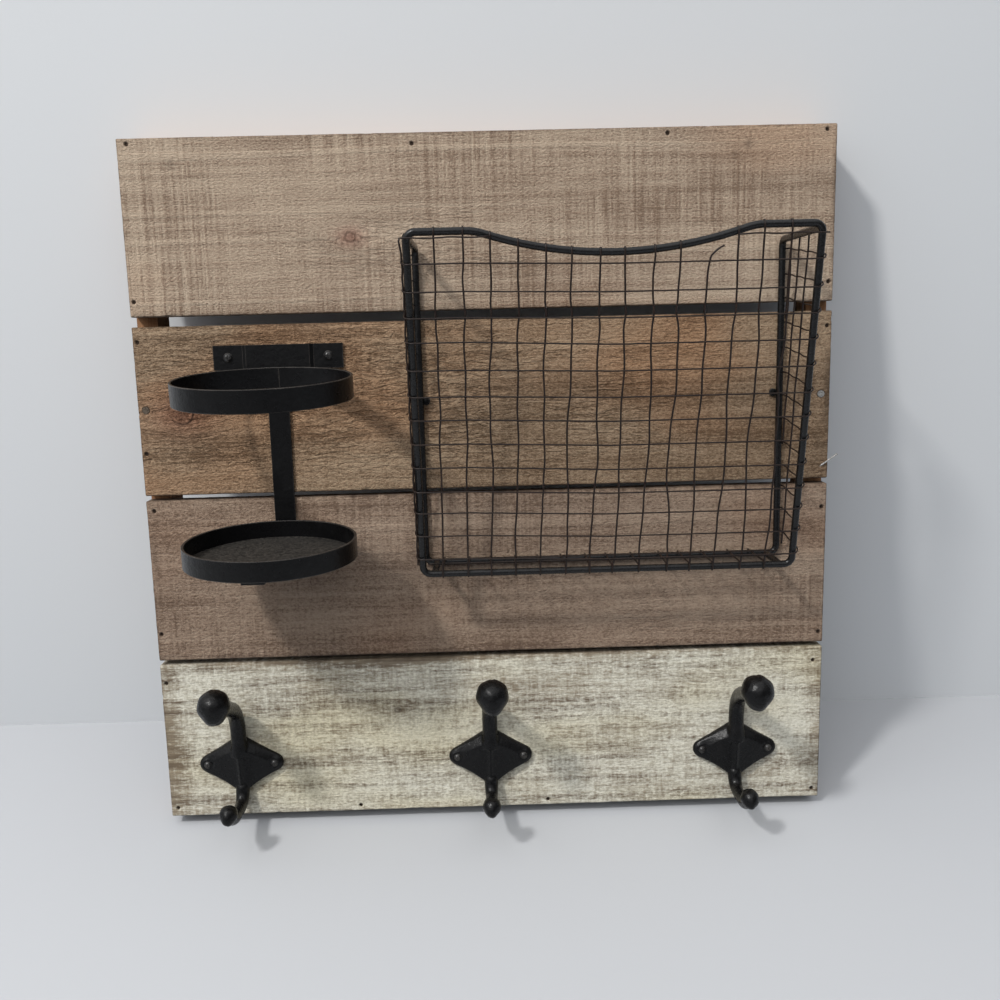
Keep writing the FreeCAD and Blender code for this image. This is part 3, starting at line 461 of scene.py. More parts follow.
def board_piece(name, material, seed, slot_name, saw_band, dark_spots_and_shade, knots=(), torn_bands=(), worn_spots=()):
    """A sawn board with rounded, chipped edges, a rough face, pits for its nails and end grain."""
    low_z, high_z = board_spans[name]
    pits = [pit for pit in nail_pits if low_z < pit[1] < high_z]
    near_x = [(p[0], p[2] + 1.2) for p in pits] + [(k[0], 1.15 * k[5] + 2.5) for k in knots]
    near_z = [(p[1], p[2] + 1.2) for p in pits] + [(k[1], k[5] + 2.5) for k in knots]
    xs = filled_lines(-board_half_length, board_half_length, 1.7, near_x)
    zs = filled_lines(low_z, high_z, 1.6, near_z)
    ys = filled_lines(board_front_y, board_back_y, 2.2, [])
    back = list(range(0, len(zs) - 1, 6)) + [len(zs) - 1]

    # Numbering: the front grid, the rows above and below it, the back, and the two ends
    points = []

    def add_grid(first, second, place):
        start = len(points)
        points.extend(place(a, b) for a in first for b in second)
        return np.arange(start, len(points)).reshape(len(first), len(second))

    front = add_grid(xs, zs, lambda x, z: (x, ys[0], z))
    top = add_grid(xs, ys[1:], lambda x, y: (x, y, zs[-1]))
    bottom = add_grid(xs, ys[1:], lambda x, y: (x, y, zs[0]))
    inner_back = add_grid(xs, zs[back[1:-1]], lambda x, z: (x, ys[-1], z))
    rear = np.hstack([bottom[:, -1:], inner_back, top[:, -1:]])
    left = add_grid(zs[1:-1], ys[1:-1], lambda z, y: (xs[0], y, z))
    right = add_grid(zs[1:-1], ys[1:-1], lambda z, y: (xs[-1], y, z))
    faces = []

    def add_faces(grid, flip):
        a, b, c, d = grid[:-1, :-1], grid[1:, :-1], grid[1:, 1:], grid[:-1, 1:]
        corners = (a, d, c, b) if flip else (a, b, c, d)
        faces.extend(np.stack([corner.ravel() for corner in corners], axis=1).tolist())

    add_faces(front, False)
    add_faces(np.hstack([front[:, -1:], top]), False)
    add_faces(np.hstack([front[:, :1], bottom]), True)
    add_faces(rear, True)
    for end, inner, flip in ((0, left, True), (-1, right, False)):
        # Columns run front to back, rows bottom to top; the last column has only the back's rows
        full = np.vstack([bottom[end, :-1][None, :], inner, top[end, :-1][None, :]])
        full = np.hstack([front[end][:, None], full])
        add_faces(full.T, flip)
        for number in range(len(back) - 1):
            ring = [int(rear[end, number]), int(rear[end, number + 1])]
            ring += [int(full[row, -1]) for row in range(back[number + 1], back[number] - 1, -1)]
            faces.append(ring if flip else ring[::-1])

    p = np.array(points)
    x, y, z = p.T.copy()
    low = np.array([-board_half_length, board_front_y, low_z])
    high = np.array([board_half_length, board_back_y, high_z])

    def waves(wide, tall, number, layers=3):
        return layered_noise(x / wide, z / tall, seed + number, layers)

    # Round the edges with an uneven radius, larger where the edge is chipped
    radius = 0.9 + 0.9 * layered_noise(x / 23.0, z / 17.0 + y / 9.0, seed)
    chips = soft_step(0.70, 0.86, layered_noise(x / 9.0 + y / 5.0, z / 7.0, seed + 5))
    radius = np.minimum(radius + 1.7 * chips, 3.4)
    inner_point = np.clip(p, low + radius[:, None], high - radius[:, None])
    away = p - inner_point
    length = np.linalg.norm(away, axis=1)
    outside = length > 1e-9
    away[outside] /= length[outside][:, None]
    p = np.where(outside[:, None], inner_point + away * radius[:, None], p)

    # Rough face: broad waves, torn grain, saw marks and fuzz, all cut into the board
    grain_z = z.copy()
    for knot_x, knot_z, wide, tall, pull, size, dark_x, dark_z in knots:
        grain_z -= (z - knot_z) * pull * spot(x, z, knot_x, knot_z, wide, tall)
    grain_z += 5.0 * (waves(190.0, 60.0, 9) - 0.5)
    broad = smooth_noise(x / 120.0, z / 45.0, seed + 1)
    fibre = layered_noise(x / 34.0, grain_z / 2.6, seed + 2, 2)
    saw_wave = waves(3.4, 60.0, 3, 2)
    saw_top, saw_low = saw_band
    saw_where = soft_step(saw_top, saw_top - 12.0, z) * soft_step(saw_low, saw_low + 12.0, z)
    saw_where = saw_where * soft_step(0.35, 0.6, waves(70.0, 40.0, 4))
    torn_where = np.zeros_like(x)
    for band in torn_bands:
        torn_where = np.maximum(torn_where, spot(x, z, *band, power=4))
    torn_where = torn_where * soft_step(0.25, 0.55, waves(40.0, 16.0, 8))
    tear = waves(11.0, 2.4, 6, 2)
    fuzz = hashed(np.round(x * 7.0), np.round(z * 7.0), seed + 7)
    cut = 0.16 * broad + 0.13 * fibre + 0.12 * saw_wave * saw_where + 0.40 * tear * torn_where + 0.05 * fuzz
    p[:, 1] += cut * np.clip((board_front_y + 2.5 - y) / 2.5, 0.0, 1.0)
    p[:, 2] -= 0.25 * layered_noise(x / 14.0, y / 6.0, seed + 10) * (z > high_z - 0.01)
    p[:, 2] += 0.25 * layered_noise(x / 14.0, y / 6.0, seed + 11) * (z < low_z + 0.01)
    side = np.sign(x) * (np.abs(x) > board_half_length - 0.01)
    p[:, 0] -= side * 0.3 * layered_noise(z / 3.0, y / 2.0, seed + 12)
    mark = np.zeros_like(x)
    on_front = y < board_front_y + 0.01
    for pit_x, pit_z, pit_radius, depth in pits:
        gap = np.hypot(x - pit_x, z - pit_z)
        inside = (1.0 - soft_step(pit_radius - 0.2, pit_radius + 0.45, gap)) * on_front
        p[:, 1] = np.maximum(p[:, 1], board_front_y + depth * inside)
        # Painted shade: each nail pit is also darkened in the colour, over the pit and a little past it
        gap = gap + 0.9 * (waves(1.6, 1.2, 17) - 0.5)
        mark = np.maximum(mark, 0.85 * (1.0 - soft_step(pit_radius - 0.3, pit_radius + 0.5, gap)))

    # Dark, reddish and worn places for the material, with painted shade along the edges and in the nail pits
    # Painted shade along every edge of the board, uneven in width and strength
    to_edge = np.minimum(np.minimum(high_z - z, z - low_z), board_half_length - np.abs(x))
    ragged = waves(6.0, 4.0, 14)
    mark = np.maximum(mark, 0.75 * (1.0 - soft_step(0.4, 1.2 + 2.6 * ragged ** 2, to_edge)) * ragged)
    # Darker spots and bands; the bands on the right ends of the top and upper boards are painted shade
    for *oval, strength in dark_spots_and_shade:
        uneven = 0.55 + 0.6 * waves(5.0, 3.0, 15)
        mark = np.maximum(mark, strength * spot(x, z, *oval) * uneven)
    halo = np.zeros_like(x)
    for knot_x, knot_z, wide, tall, pull, size, dark_x, dark_z in knots:
        near = np.hypot((x - knot_x) / 1.15, z - knot_z)
        near = near + 0.8 * (waves(2.2, 2.2, 16) - 0.5)
        toward = (x - knot_x) * dark_x + (z - knot_z) * dark_z
        toward = toward / np.maximum(np.hypot(x - knot_x, z - knot_z), 0.1)
        ring = np.exp(-((near - size) / 0.9) ** 2) * np.clip(0.65 + 0.6 * toward, 0.0, 1.0)
        mark = np.maximum(mark, 0.9 * ring)
        mark = np.maximum(mark, (0.14 + 0.03 * size) * np.exp(-(near / (size * 0.8)) ** 2))
        halo = np.maximum(halo, spot(x, z, knot_x, knot_z, size * 3.4, size * 2.4))
    worn = np.zeros_like(x)
    for *oval, strength in worn_spots:
        worn = np.maximum(worn, strength * spot(x, z, *oval))
    made = mesh_piece(name + "_sawn", p, faces, material, slot_name, [name])
    values = np.stack([x, y, grain_z], axis=1) * mm
    layer = made.data.attributes.new("grain", "FLOAT_VECTOR", "POINT")
    layer.data.foreach_set("vector", values.astype(np.float32).ravel())
    for label, field in (("mark", mark), ("torn", torn_where), ("worn", worn), ("halo", halo)):
        layer = made.data.attributes.new(label, "FLOAT", "POINT")
        layer.data.foreach_set("value", field.astype(np.float32))


# Knots: x, z, width and height of the bent grain, its pull, radius, and the way to the darker side.
# Dark spots and painted shade, and worn spots: x, z, width, height, strength. Torn bands: x, z, width,
# height.
board_piece(
    "board_top", top_wood, 11, "greyed_boards", (-30.0, -131.0),
    knots=((-105.8, -71.4, 24.0, 11.0, 0.75, 3.6, 0.0, 0.0),),
    # The band at x 287 is painted shade on the right end; the band at z 8.5 is a darker top edge; the rest
    # are darker spots
    dark_spots_and_shade=((-246.0, -12.0, 3.0, 4.0, 0.45), (216.0, -6.0, 3.0, 4.0, 0.5), (205.0, -14.0, 2.5, 3.0, 0.35),
             (287.0, -60.0, 2.5, 60.0, 0.5), (0.0, 8.5, 300.0, 1.6, 0.55), (-135.0, -72.0, 26.0, 5.0, 0.2)),
    torn_bands=((-40.0, -75.0, 120.0, 30.0),),
)
board_piece(
    "board_upper", upper_wood, 12, "greyed_boards", (-138.0, -278.0),
    knots=((-251.8, -210.8, 26.0, 16.0, 0.6, 8.0, 0.7, -0.7),),
    # The bands at x 286 and 284 are painted shade on the right end; the third is a darker spot by the knot
    dark_spots_and_shade=((286.0, -200.0, 4.0, 34.0, 0.6), (284.0, -255.0, 6.0, 16.0, 0.35),
             (-262.0, -206.0, 9.0, 3.0, 0.3)),
    torn_bands=((-60.0, -200.0, 250.0, 66.0),),
)
board_piece(
    "board_lower", lower_wood, 13, "greyed_boards", (-290.0, -422.0),
    dark_spots_and_shade=((-284.0, -330.0, 3.0, 20.0, 0.4),),
    torn_bands=((200.0, -400.0, 90.0, 12.0),),
)
board_piece(
    "board_hooks", wash_wood, 14, "whitewashed_board", (-426.0, -566.0),
    knots=((-84.0, -473.0, 10.0, 5.0, 0.5, 1.8, 0.0, 0.0),),
    dark_spots_and_shade=((64.0, -556.0, 1.2, 1.2, 1.0),),
    worn_spots=((-287.0, -500.0, 16.0, 90.0, 1.0), (287.0, -500.0, 14.0, 90.0, 0.7),
                (0.0, -427.0, 300.0, 5.0, 0.8), (60.0, -455.0, 120.0, 16.0, 0.35)),
)


# Tubes for the basket's wires
def rounded_path(points, steps):
    """A Catmull-Rom curve through the points."""
    points = [np.array(point, float) for point in points]
    line = [2.0 * points[0] - points[1]] + points + [2.0 * points[-1] - points[-2]]
    result = []
    for number in range(1, len(line) - 2):
        a, b, c, d = line[number - 1:number + 3]
        for step in range(steps):
            t = step / steps
            result.append(0.5 * (2.0 * b + (c - a) * t + (2.0 * a - 5.0 * b + 4.0 * c - d) * t ** 2
                                 + (3.0 * b - a - 3.0 * c + d) * t ** 3))
    result.append(line[-2])
    return result


def tube(path, radius, sides=7):
    """Points and faces of a round wire along a path, with closed ends."""
    path = np.array(path)
    ahead = np.gradient(path, axis=0)
    ahead /= np.linalg.norm(ahead, axis=1)[:, None]
    side = np.cross(ahead[0], (0.0, 0.0, 1.0))
    if np.linalg.norm(side) < 0.1:
        side = np.cross(ahead[0], (1.0, 0.0, 0.0))
    angles = round_angles(sides)
    points = []
    for place, direction in zip(path, ahead):
        side = side - direction * np.dot(side, direction)
        side /= np.linalg.norm(side)
        other = np.cross(direction, side)
        points.append(place + radius * (np.cos(angles)[:, None] * side + np.sin(angles)[:, None] * other))
    return np.concatenate(points), bar_faces(len(path), sides)


def hoop_point(x, up, out):
    """A place by distance from the basket's middle, height along the slant, and distance in front of it."""
    sine, cosine = math.sin(basket_slant), math.cos(basket_slant)
    return np.array((basket_x + x, hoop_bottom_y - up * sine - out * cosine,
                     basket_bottom_z + up * cosine - out * sine))


def hoop_wire(places, radius, steps=3):
    """A wire's path and radius, from places as hoop_point takes them."""
    return rounded_path([hoop_point(*place) for place in places], steps), radius


def hoop_top(x):
    """Height of the scooped top rod's centre along the slant: two shoulder arcs and one wide arc."""
    turn = 2.0 * math.atan2(scoop_depth, scoop_half_width)
    wide = scoop_half_width / math.sin(turn) - scoop_shoulder_radius
    half = abs(x)
    if half >= scoop_half_width:
        return hoop_height
    if half <= wide * math.sin(turn):
        return hoop_height - scoop_depth + wide - math.sqrt(wide ** 2 - half ** 2)
    fall = math.sqrt(scoop_shoulder_radius ** 2 - (scoop_half_width - half) ** 2)
    return hoop_height - scoop_shoulder_radius + fall


# Heights along the slant, and each front upright's sideways place at them in tenths of a millimetre:
# the place at the first height, then the change from each height to the next
upright_stations = (
    247.0, 235.8, 226.0, 216.8, 207.5, 197.8, 188.0, 177.8, 167.5, 157.3, 147.0, 138.5, 130.0,
    120.0, 110.0, 100.3, 90.5, 81.3, 72.0, 63.0, 53.8, 43.8, 33.5, 23.8, 13.8, 3.8,
)
upright_changes = (
    (-1293, 0, -2, -7, 1, -2, 7, -1, -4, 0, 4, 2, -2, -11, -5, 1, 2, 0, -3, -2, 0, -2, -4, -2, -3, -5),
    (-1086, -10, 3, 4, 4, -11, -6, 1, 5, -3, -4, -1, 3, 3, 0, -8, -6, -5, 1, -3, -1, -2, -2, -1, -2, 0),
    (-893, 2, -2, -6, 5, -4, 1, -10, -11, -5, 2, 2, -1, -2, 4, 7, 3, -2, -4, -4, -3, -6, -4, -7, -1, -1),
    (-694, -5, 4, 1, 1, -12, -5, 1, 4, -2, -5, -4, 2, 3, 2, -4, -5, -5, -1, -3, -4, -9, -6, 0, 3, -2),
    (-494, -3, -4, -1, 8, -4, -5, -10, -4, 3, 5, -3, -4, -1, 4, 3, -2, -8, 0, -8, -1, -7, -6, -3, -2, -1),
    (-309, -4, -5, 1, 11, 1, -1, -5, -1, -1, -3, -10, -8, -5, 0, 1, 2, 3, 5, 1, -2, -4, 1, 0, -6, -5),
    (-102, -4, -3, 2, -1, 7, -6, -8, -2, 4, 2, -2, -2, 4, 7, 4, -2, -12, -8, -7, -3, -6, -7, -7, -2, 3),
    (73, 1, 5, 1, 8, -13, 2, 6, 4, -4, -8, -5, -1, 1, 0, -3, -3, 0, 3, 2, -3, -6, -5, -4, -2, -17),
    (289, -10, 0, 5, 10, -10, -4, 0, 7, 5, 1, -2, -3, 2, 3, -3, -6, -8, -7, -4, -1, -4, -8, -8, -2, 5),
    (472, -2, -5, -1, -7, 19, 5, -2, 0, 3, -1, -8, -11, -10, -3, -5, -5, -2, 5, 13, 11, 5, -3, -3, 6, 1),
    (680, -7, -2, -2, -4, 13, 4, -4, -5, 0, 3, -4, -7, -8, -2, -1, -1, 0, 4, 4, 2, -3, -2, -1, -1, -2),
    (882, 4, 5, 1, 4, -14, -5, 0, 0, -5, -3, 0, 5, 7, 3, 0, 1, -1, -4, -8, -11, -6, 0, -4, -4, -4),
    (1065, 4, -1, -5, 0, 6, 10, 2, -3, -3, 0, -2, -6, -11, -7, 0, 3, 6, 5, 4, 4, 3, -1, 0, -2, -7),
    (1263, 6, 3, 0, 2, -4, 4, -5, -13, -11, 9, 12, -2, 4, -3, 3, 8, 1, -4, -2, 2, 3, -2, -10, -8, 3),
)
upright_tables = [np.cumsum(row) / 10.0 for row in upright_changes]
broken_upright = 10
# Left and right height of each crossing wire; each drops between the left end and the middle
crossing_ends = (
    (246.2, 243.7), (226.2, 223.5), (207.2, 204.5), (189.2, 185.0), (168.2, 164.8), (148.0, 144.5),
    (129.8, 125.8), (110.8, 106.7), (91.8, 87.0), (72.0, 67.5), (54.2, 50.0), (34.8, 31.0), (14.8, 11.3),
)
crossing_drop_reach = 110.0
top_crossing = (264.4, 262.2)
top_crossing_reach = (-90.0, 88.0)
side_upright_places = (16.0, 40.0, 61.0, 82.0)
side_crossing_rise = 0.125
# Hooked ends of the wires, as distances past the wire's last place, along the slant and out of it
top_loop = ((-2.6, -2.9), (0.4, -3.0), (2.3, -1.8), (2.9, 0.3), (1.9, 2.4))
bottom_loop = ((-1.2, 2.8), (-2.5, 1.6), (-2.9, -0.2), (-2.2, -2.1), (-0.6, -2.9))
left_loop = ((-4.4, 1.9, -6.0), (-4.8, 1.0, -2.5), (-4.2, 0.3, 1.2), (-2.0, 0.0, 3.8))
right_loop = ((2.0, 0.5, 3.7), (3.6, 1.3, 1.6), (3.9, 2.0, -0.8), (3.2, 2.4, -2.6), (1.0, 2.0, -3.6))
broken_end = [(78.0, 254.5, 4.6), (74.5, 252.6, 4.4), (71.0, 249.4, 4.0), (68.8, 246.0, 3.6)]
broken_below = 244.0


def front_wires():
    """Uprights hooked over the top rod and under the bottom one, and crossings in front of them."""
    wires = []
    half = basket_half_width
    for number, table in enumerate(upright_tables):
        first = table[0]
        top = hoop_top(first)
        broken = number == broken_upright
        path = list(broken_end) if broken else [(first, top + up, out) for up, out in top_loop]
        if not broken and top - 5.0 > upright_stations[0]:
            path.append((first, top - 2.8, upright_layer - 0.2))
        for up, x in zip(upright_stations, table):
            if up < hoop_top(x) - 4.5 and not (broken and up > broken_below):
                path.append((x, up, upright_layer))
        path += [(table[-1], up, out) for up, out in bottom_loop]
        wires.append(hoop_wire(path, wire_upright_radius))
    for number, (left_up, right_up) in enumerate(crossing_ends):
        path = [(-half + x, left_up + up, out) for x, up, out in left_loop]
        for x in np.linspace(-half + 1.0, half - 1.0, 31):
            share = min(max((x + crossing_drop_reach) / crossing_drop_reach, 0.0), 1.0)
            sway = 0.12 * math.sin(x * 0.31 + number * 1.7) * math.cos(x * 0.043 + number)
            path.append((x, left_up + (right_up - left_up) * share + sway, cross_layer))
        path += [(half + x, right_up + up, out) for x, up, out in right_loop]
        wires.append(hoop_wire(path, wire_cross_radius))
    ends = ((-half - 4.0, top_crossing_reach[0]), (top_crossing_reach[1], half + 4.0))
    for height, (low, high) in zip(top_crossing, ends):
        path = [(x, height + 0.3 * math.sin(x * 0.2), cross_layer - 0.4) for x in np.linspace(low, high, 12)]
        wires.append(hoop_wire(path, wire_cross_radius, 2))
    return wires


def side_wires(side):
    """A folded-back side: uprights behind the rod, at the left one outside it, and crossings to the wall."""
    wires = []
    half = basket_half_width
    outer = side * (half + upright_layer)
    if side < 0:
        path = [(-half - 5.0, 263.5, -2.6), (-half - 5.4, 261.0, -1.6)]
        for up in np.arange(254.0, 2.0, -6.0):
            wave = 0.25 * math.sin(up * 0.33) + 0.15 * math.sin(up * 0.11)
            path.append((-half - 3.9 - wave, up, -1.0 + wave))
        wires.append(hoop_wire(path, wire_upright_radius))
    for back in side_upright_places:
        top_up = (arm_z - basket_bottom_z - back * math.sin(basket_slant)) / math.cos(basket_slant)
        low_up = max((hoop_point(outer, 0.0, -back)[1] - back_rod_y) / math.sin(basket_slant), 0.0)
        path = []
        for up in np.linspace(low_up, top_up, 18):
            sway = 0.7 * math.sin(up * 0.09 + back) + 0.3 * math.sin(up * 0.27 + back)
            path.append((outer, up, -back - sway))
        wires.append(hoop_wire(path, wire_upright_radius))
    for number, ends in enumerate(crossing_ends):
        up = ends[0] + 1.0 if side < 0 else ends[1] + 2.0
        front = hoop_point(side * (half + cross_layer - 0.6), up, -2.0)
        reach = min(back_rod_y - front[1], (arm_z - front[2]) / side_crossing_rise)
        if reach < 8.0:
            continue
        path = []
        for away in np.linspace(0.0, reach, 12):
            sway = 0.35 * math.sin(away * 0.25 + number)
            path.append(front + np.array((0.0, away, away * side_crossing_rise + sway)))
        end = path[-1]
        path += [end + np.array((-side * 2.4, 0.6, 0.6)), end + np.array((-side * 5.0, -0.6, 0.4))]
        wires.append((rounded_path(path, 3), wire_cross_radius))
    return wires


def floor_wires():
    """Wires from the back to the front over the bottom rods, and two lengthwise on top of them."""
    wires = []
    depth = hoop_bottom_y - back_rod_y
    floor_z = basket_bottom_z + upright_layer
    for number, table in enumerate(upright_tables):
        x = basket_x + table[-1]
        shift = 0.9 * math.sin(number * 2.3)
        path = [(x + shift, back_rod_y, floor_z)]
        for share in (0.25, 0.5, 0.75):
            path.append((x + shift * (1.0 - share), back_rod_y + depth * share, floor_z - 0.2 * share))
        path += [(x, hoop_bottom_y + 0.4, floor_z), (x, hoop_bottom_y - 2.6, basket_bottom_z + 2.6)]
        wires.append((rounded_path(path, 4), wire_upright_radius))
    half = basket_half_width - rod_radius
    for share in (1.0 / 3.0, 2.0 / 3.0):
        path = []
        for x in np.linspace(-half, half, 36):
            y = back_rod_y + depth * share + 0.5 * math.sin(x * 0.13 + share * 9.0)
            path.append((basket_x + x, y, basket_bottom_z + cross_layer))
        wires.append((rounded_path(path, 2), wire_cross_radius))
    return wires


def wires_piece(name, wires, node_name):
    """Many wires as one piece that stands for one of the basket's mesh nodes."""
    points, faces = merged([tube(path, radius) for path, radius in wires])
    mesh_piece(name, points, faces, wire_black, "basket_paint", [node_name])


wires_piece("front_wires", front_wires(), "mesh_front")
wires_piece("left_wires", side_wires(-1), "mesh_left")
wires_piece("right_wires", side_wires(1), "mesh_right")
wires_piece("floor_wires", floor_wires(), "mesh_floor")


# Coat hooks: a faceted plate, two thick arms and two oval knobs, merged into one cast skin
hook_x_places = {"coat_hook_left": -222.0, "coat_hook_middle": -4.0, "coat_hook_right": 211.0}
hook_z = -516.4
knob_shifts = ((0.0, 0.0), (2.8, 1.6), (-0.4, -1.2))
plate_half_width = 44.0
plate_half_height = 26.5
plate_side_round = 8.0
plate_top_round = 9.0
plate_edge_thickness = 2.8
plate_peak_thickness = 13.0
plate_crest_rise = 14.0
plate_hollows = (0.3, 0.3, 1.3, 1.3)
screw_seat_place = 29.0
screw_seat_radius = 4.4
screw_seat_thickness = 5.15
arm_y = -7.4
arm_bend_z = 30.5
arm_bend_radius = 30.0
arm_bend = math.radians(68.0)
# Places of the lower arm, as y and z
lower_arm = ((-3.6, -15.0), (-4.6, -20.0), (-5.8, -26.0), (-9.0, -31.0), (-15.5, -34.0), (-36.0, -33.8),
             (-45.4, -31.0), (-51.5, -26.4), (-54.4, -23.0))
# Half section of a knob: place along its axis and width, both as shares
knob_profile = ((-0.50, 0.50), (-0.40, 0.60), (-0.28, 0.78), (-0.14, 0.93), (0.0, 1.0), (0.13, 0.98),
                (0.25, 0.88), (0.35, 0.73), (0.43, 0.53), (0.48, 0.32), (0.505, 0.12))
cast_skin_step = 0.0007


def diamond_edge():
    """The plate's outline: straight above, slightly hollow below, with round corners."""
    slope = math.atan2(plate_half_height, plate_half_width)
    side_middle = plate_half_width - plate_side_round / math.sin(slope)
    top_middle = plate_half_height - plate_top_round / math.cos(slope)
    facing = math.pi / 2.0 - slope
    corners = (
        (side_middle, 0.0, plate_side_round, facing),
        (0.0, top_middle, plate_top_round, slope),
        (-side_middle, 0.0, plate_side_round, facing),
        (0.0, -top_middle, plate_top_round, slope),
    )
    rounds = []
    for number, (x, z, radius, half) in enumerate(corners):
        angles = number * math.pi / 2.0 + np.linspace(-half, half, 11)
        rounds.append(np.stack([x + radius * np.cos(angles), z + radius * np.sin(angles)], axis=1))
    points = []
    for number, corner in enumerate(rounds):
        points.append(corner)
        start = corner[-1]
        end = rounds[(number + 1) % 4][0]
        inward = -(start + end) / np.linalg.norm(start + end)
        for share in np.arange(1, 16) / 16.0:
            hollow = plate_hollows[number] * math.sin(math.pi * share)
            points.append((start + (end - start) * share + inward * hollow)[None, :])
    return np.concatenate(points)


def plate_thickness(x, z):
    """Thickness of the cast plate: a crest arched from screw to screw and a ridge down from its middle."""
    crest = plate_crest_rise * np.cos(np.clip(x / screw_seat_place, -1.0, 1.0) * math.pi / 2.0) ** 1.2
    above = plate_half_height - np.abs(x) * plate_half_height / plate_half_width
    upper = np.clip((z - crest) / np.maximum(above - crest, 2.0), 0.0, 1.0)
    lower = np.clip((crest - z) / np.maximum(above + crest, 2.0), 0.0, 1.0)
    side = np.clip(np.abs(x) / plate_half_width, 0.0, 1.0)
    rise = plate_peak_thickness - plate_edge_thickness
    share = (1.0 - side) ** 1.1 * np.where(z > crest, 1.0 - 0.85 * upper ** 1.2, 1.0 - 0.62 * lower)
    ridge = 1.3 * np.exp(-(x / 1.8) ** 2) * (z < crest)
    thickness = plate_edge_thickness + rise * share + ridge
    gap = np.hypot(np.abs(x) - screw_seat_place, z)
    near = 1.0 - soft_step(screw_seat_radius, screw_seat_radius + 1.6, gap)
    return thickness * (1.0 - near) + screw_seat_thickness * near


def cast_plate():
    """The plate in rings from its middle to its edge, which drops round to the flat back."""
    edge = diamond_edge()
    shares = np.concatenate([np.linspace(0.03, 0.94, 26), (0.97, 0.99, 1.0)])
    drops = np.concatenate([np.zeros(26), (0.3, 0.9, 2.0)])
    points = [(0.0, -plate_thickness(np.array(0.0), np.array(0.0)), 0.0)]
    for share, drop in zip(shares, drops):
        ring = edge * share
        depth = plate_thickness(ring[:, 0], ring[:, 1]) - drop
        points += [(x, -y, z) for (x, z), y in zip(ring.tolist(), depth.tolist())]
    points += [(x, 0.0, z) for x, z in edge.tolist()]
    points.append((0.0, 0.0, 0.0))
    return np.array(points), domed_faces(len(shares) + 1, len(edge))


def thick_path(path, radii, sides=18):
    """A round bar with a radius of its own at each place of the path."""
    points, faces = tube(path, 1.0, sides)
    middle = np.repeat(np.array(path), sides, axis=0)
    return middle + (points - middle) * np.repeat(radii, sides)[:, None], faces


def oval_knob(centre, axis, radius, tall, length, seed):
    """A cast knob, taller than wide, with soft flats and a seam down its middle."""
    axis = np.array(axis) / np.linalg.norm(axis)
    across = np.array((1.0, 0.0, 0.0))
    upward = np.cross(across, axis)
    upward = upward if upward[2] > 0.0 else -upward
    angles = round_angles(40)
    drop = np.clip(-np.sin(angles), 0.0, 1.0)
    points = [centre - axis * 0.5 * length]
    for along, share in knob_profile:
        flats = 1.0 + 0.020 * np.cos(7.0 * angles + seed)
        flats = flats + 0.012 * np.cos(3.0 * angles + 2.0 * seed + along * 4.0)
        seam = 1.0 - 0.05 * np.exp(-(np.cos(angles) / 0.09) ** 2) * (np.sin(angles) > 0.0)
        wide = radius * share * flats * (1.0 - 0.16 * drop ** 2) * np.cos(angles)
        high = tall * share * flats * seam * (1.0 + 0.16 * drop ** 2) * np.sin(angles)
        base = centre + axis * along * length
        points += [base + across * a + upward * b for a, b in zip(wide, high)]
    points.append(centre + axis * 0.515 * length)
    return np.array(points), domed_faces(len(knob_profile), len(angles))


def cast_hook(name, x, seed, knob_shift):
    """One hook in place of its CAD node."""
    upper = [(0.0, -6.0, 10.0), (0.0, -7.0, 17.0), (0.0, arm_y, 24.0), (0.0, arm_y, arm_bend_z)]
    for share in (0.25, 0.5, 0.75, 1.0):
        turn = arm_bend * share
        upper.append((0.0, arm_y - arm_bend_radius * (1.0 - math.cos(turn)),
                      arm_bend_z + arm_bend_radius * math.sin(turn)))
    knob_middle = np.array((knob_shift[0], -73.1, 79.2 + knob_shift[1]))
    bend_end = np.array(upper[-1])
    upper += [bend_end + (knob_middle - bend_end) * share for share in (0.4, 0.8)]
    upper = rounded_path(upper, 4)
    along = np.linspace(0.0, 1.0, len(upper))
    upper_radii = 6.6 + 1.8 * (1.0 - soft_step(0.0, 0.2, along)) + 0.7 * soft_step(0.8, 1.0, along)
    lower = rounded_path([(0.0, *place) for place in lower_arm], 4)
    along = np.linspace(0.0, 1.0, len(lower))
    lower_radii = 4.2 + 1.8 * soft_step(0.02, 0.16, along) - 0.9 * soft_step(0.2, 0.6, along)
    points, faces = merged([
        cast_plate(),
        thick_path(upper, upper_radii),
        thick_path(lower, lower_radii),
        oval_knob(knob_middle, (0.0, -0.927, 0.375), 13.2, 13.6, 28.0, seed),
        oval_knob(np.array((0.0, -55.4, -22.2)), (0.0, -0.62, 0.78), 7.7, 8.3, 16.5, seed + 1.0),
    ])
    points[:, 1] = np.minimum(points[:, 1], 0.0)
    points += np.array((x, board_front_y - 0.15, hook_z))
    made = mesh_piece(name + "_casting", points, faces, cast_black, "hook_iron", [name])
    skin = made.modifiers.new("skin", "REMESH")
    skin.mode = "VOXEL"
    skin.voxel_size = cast_skin_step
    skin.use_smooth_shade = True
    ease = made.modifiers.new("ease", "SMOOTH")
    ease.factor = 0.5
    ease.iterations = 3


for number, (name, x) in enumerate(hook_x_places.items()):
    cast_hook(name, x, 1.0 + number, knob_shifts[number])


# Pot holder: a flat ring with its butt seam at the back, a dish and the strap that carries both
band_thickness = 2.0
band_chamfer = 0.35
dish_lean = math.radians(2.3)
dish_middle = np.array((-169.8, -119.3, -303.6))
dish_height = 15.8


def leaning(lean):
    """The way down of a round part that leans forward, and the way out from its middle at an angle."""
    across = np.array((1.0, 0.0, 0.0))
    back = np.array((0.0, math.cos(lean), math.sin(lean)))

    def out_at(angle, wide=1.0, deep=1.0):
        return across * math.cos(angle) * wide + back * math.sin(angle) * deep

    return np.array((0.0, math.sin(lean), -math.cos(lean))), out_at


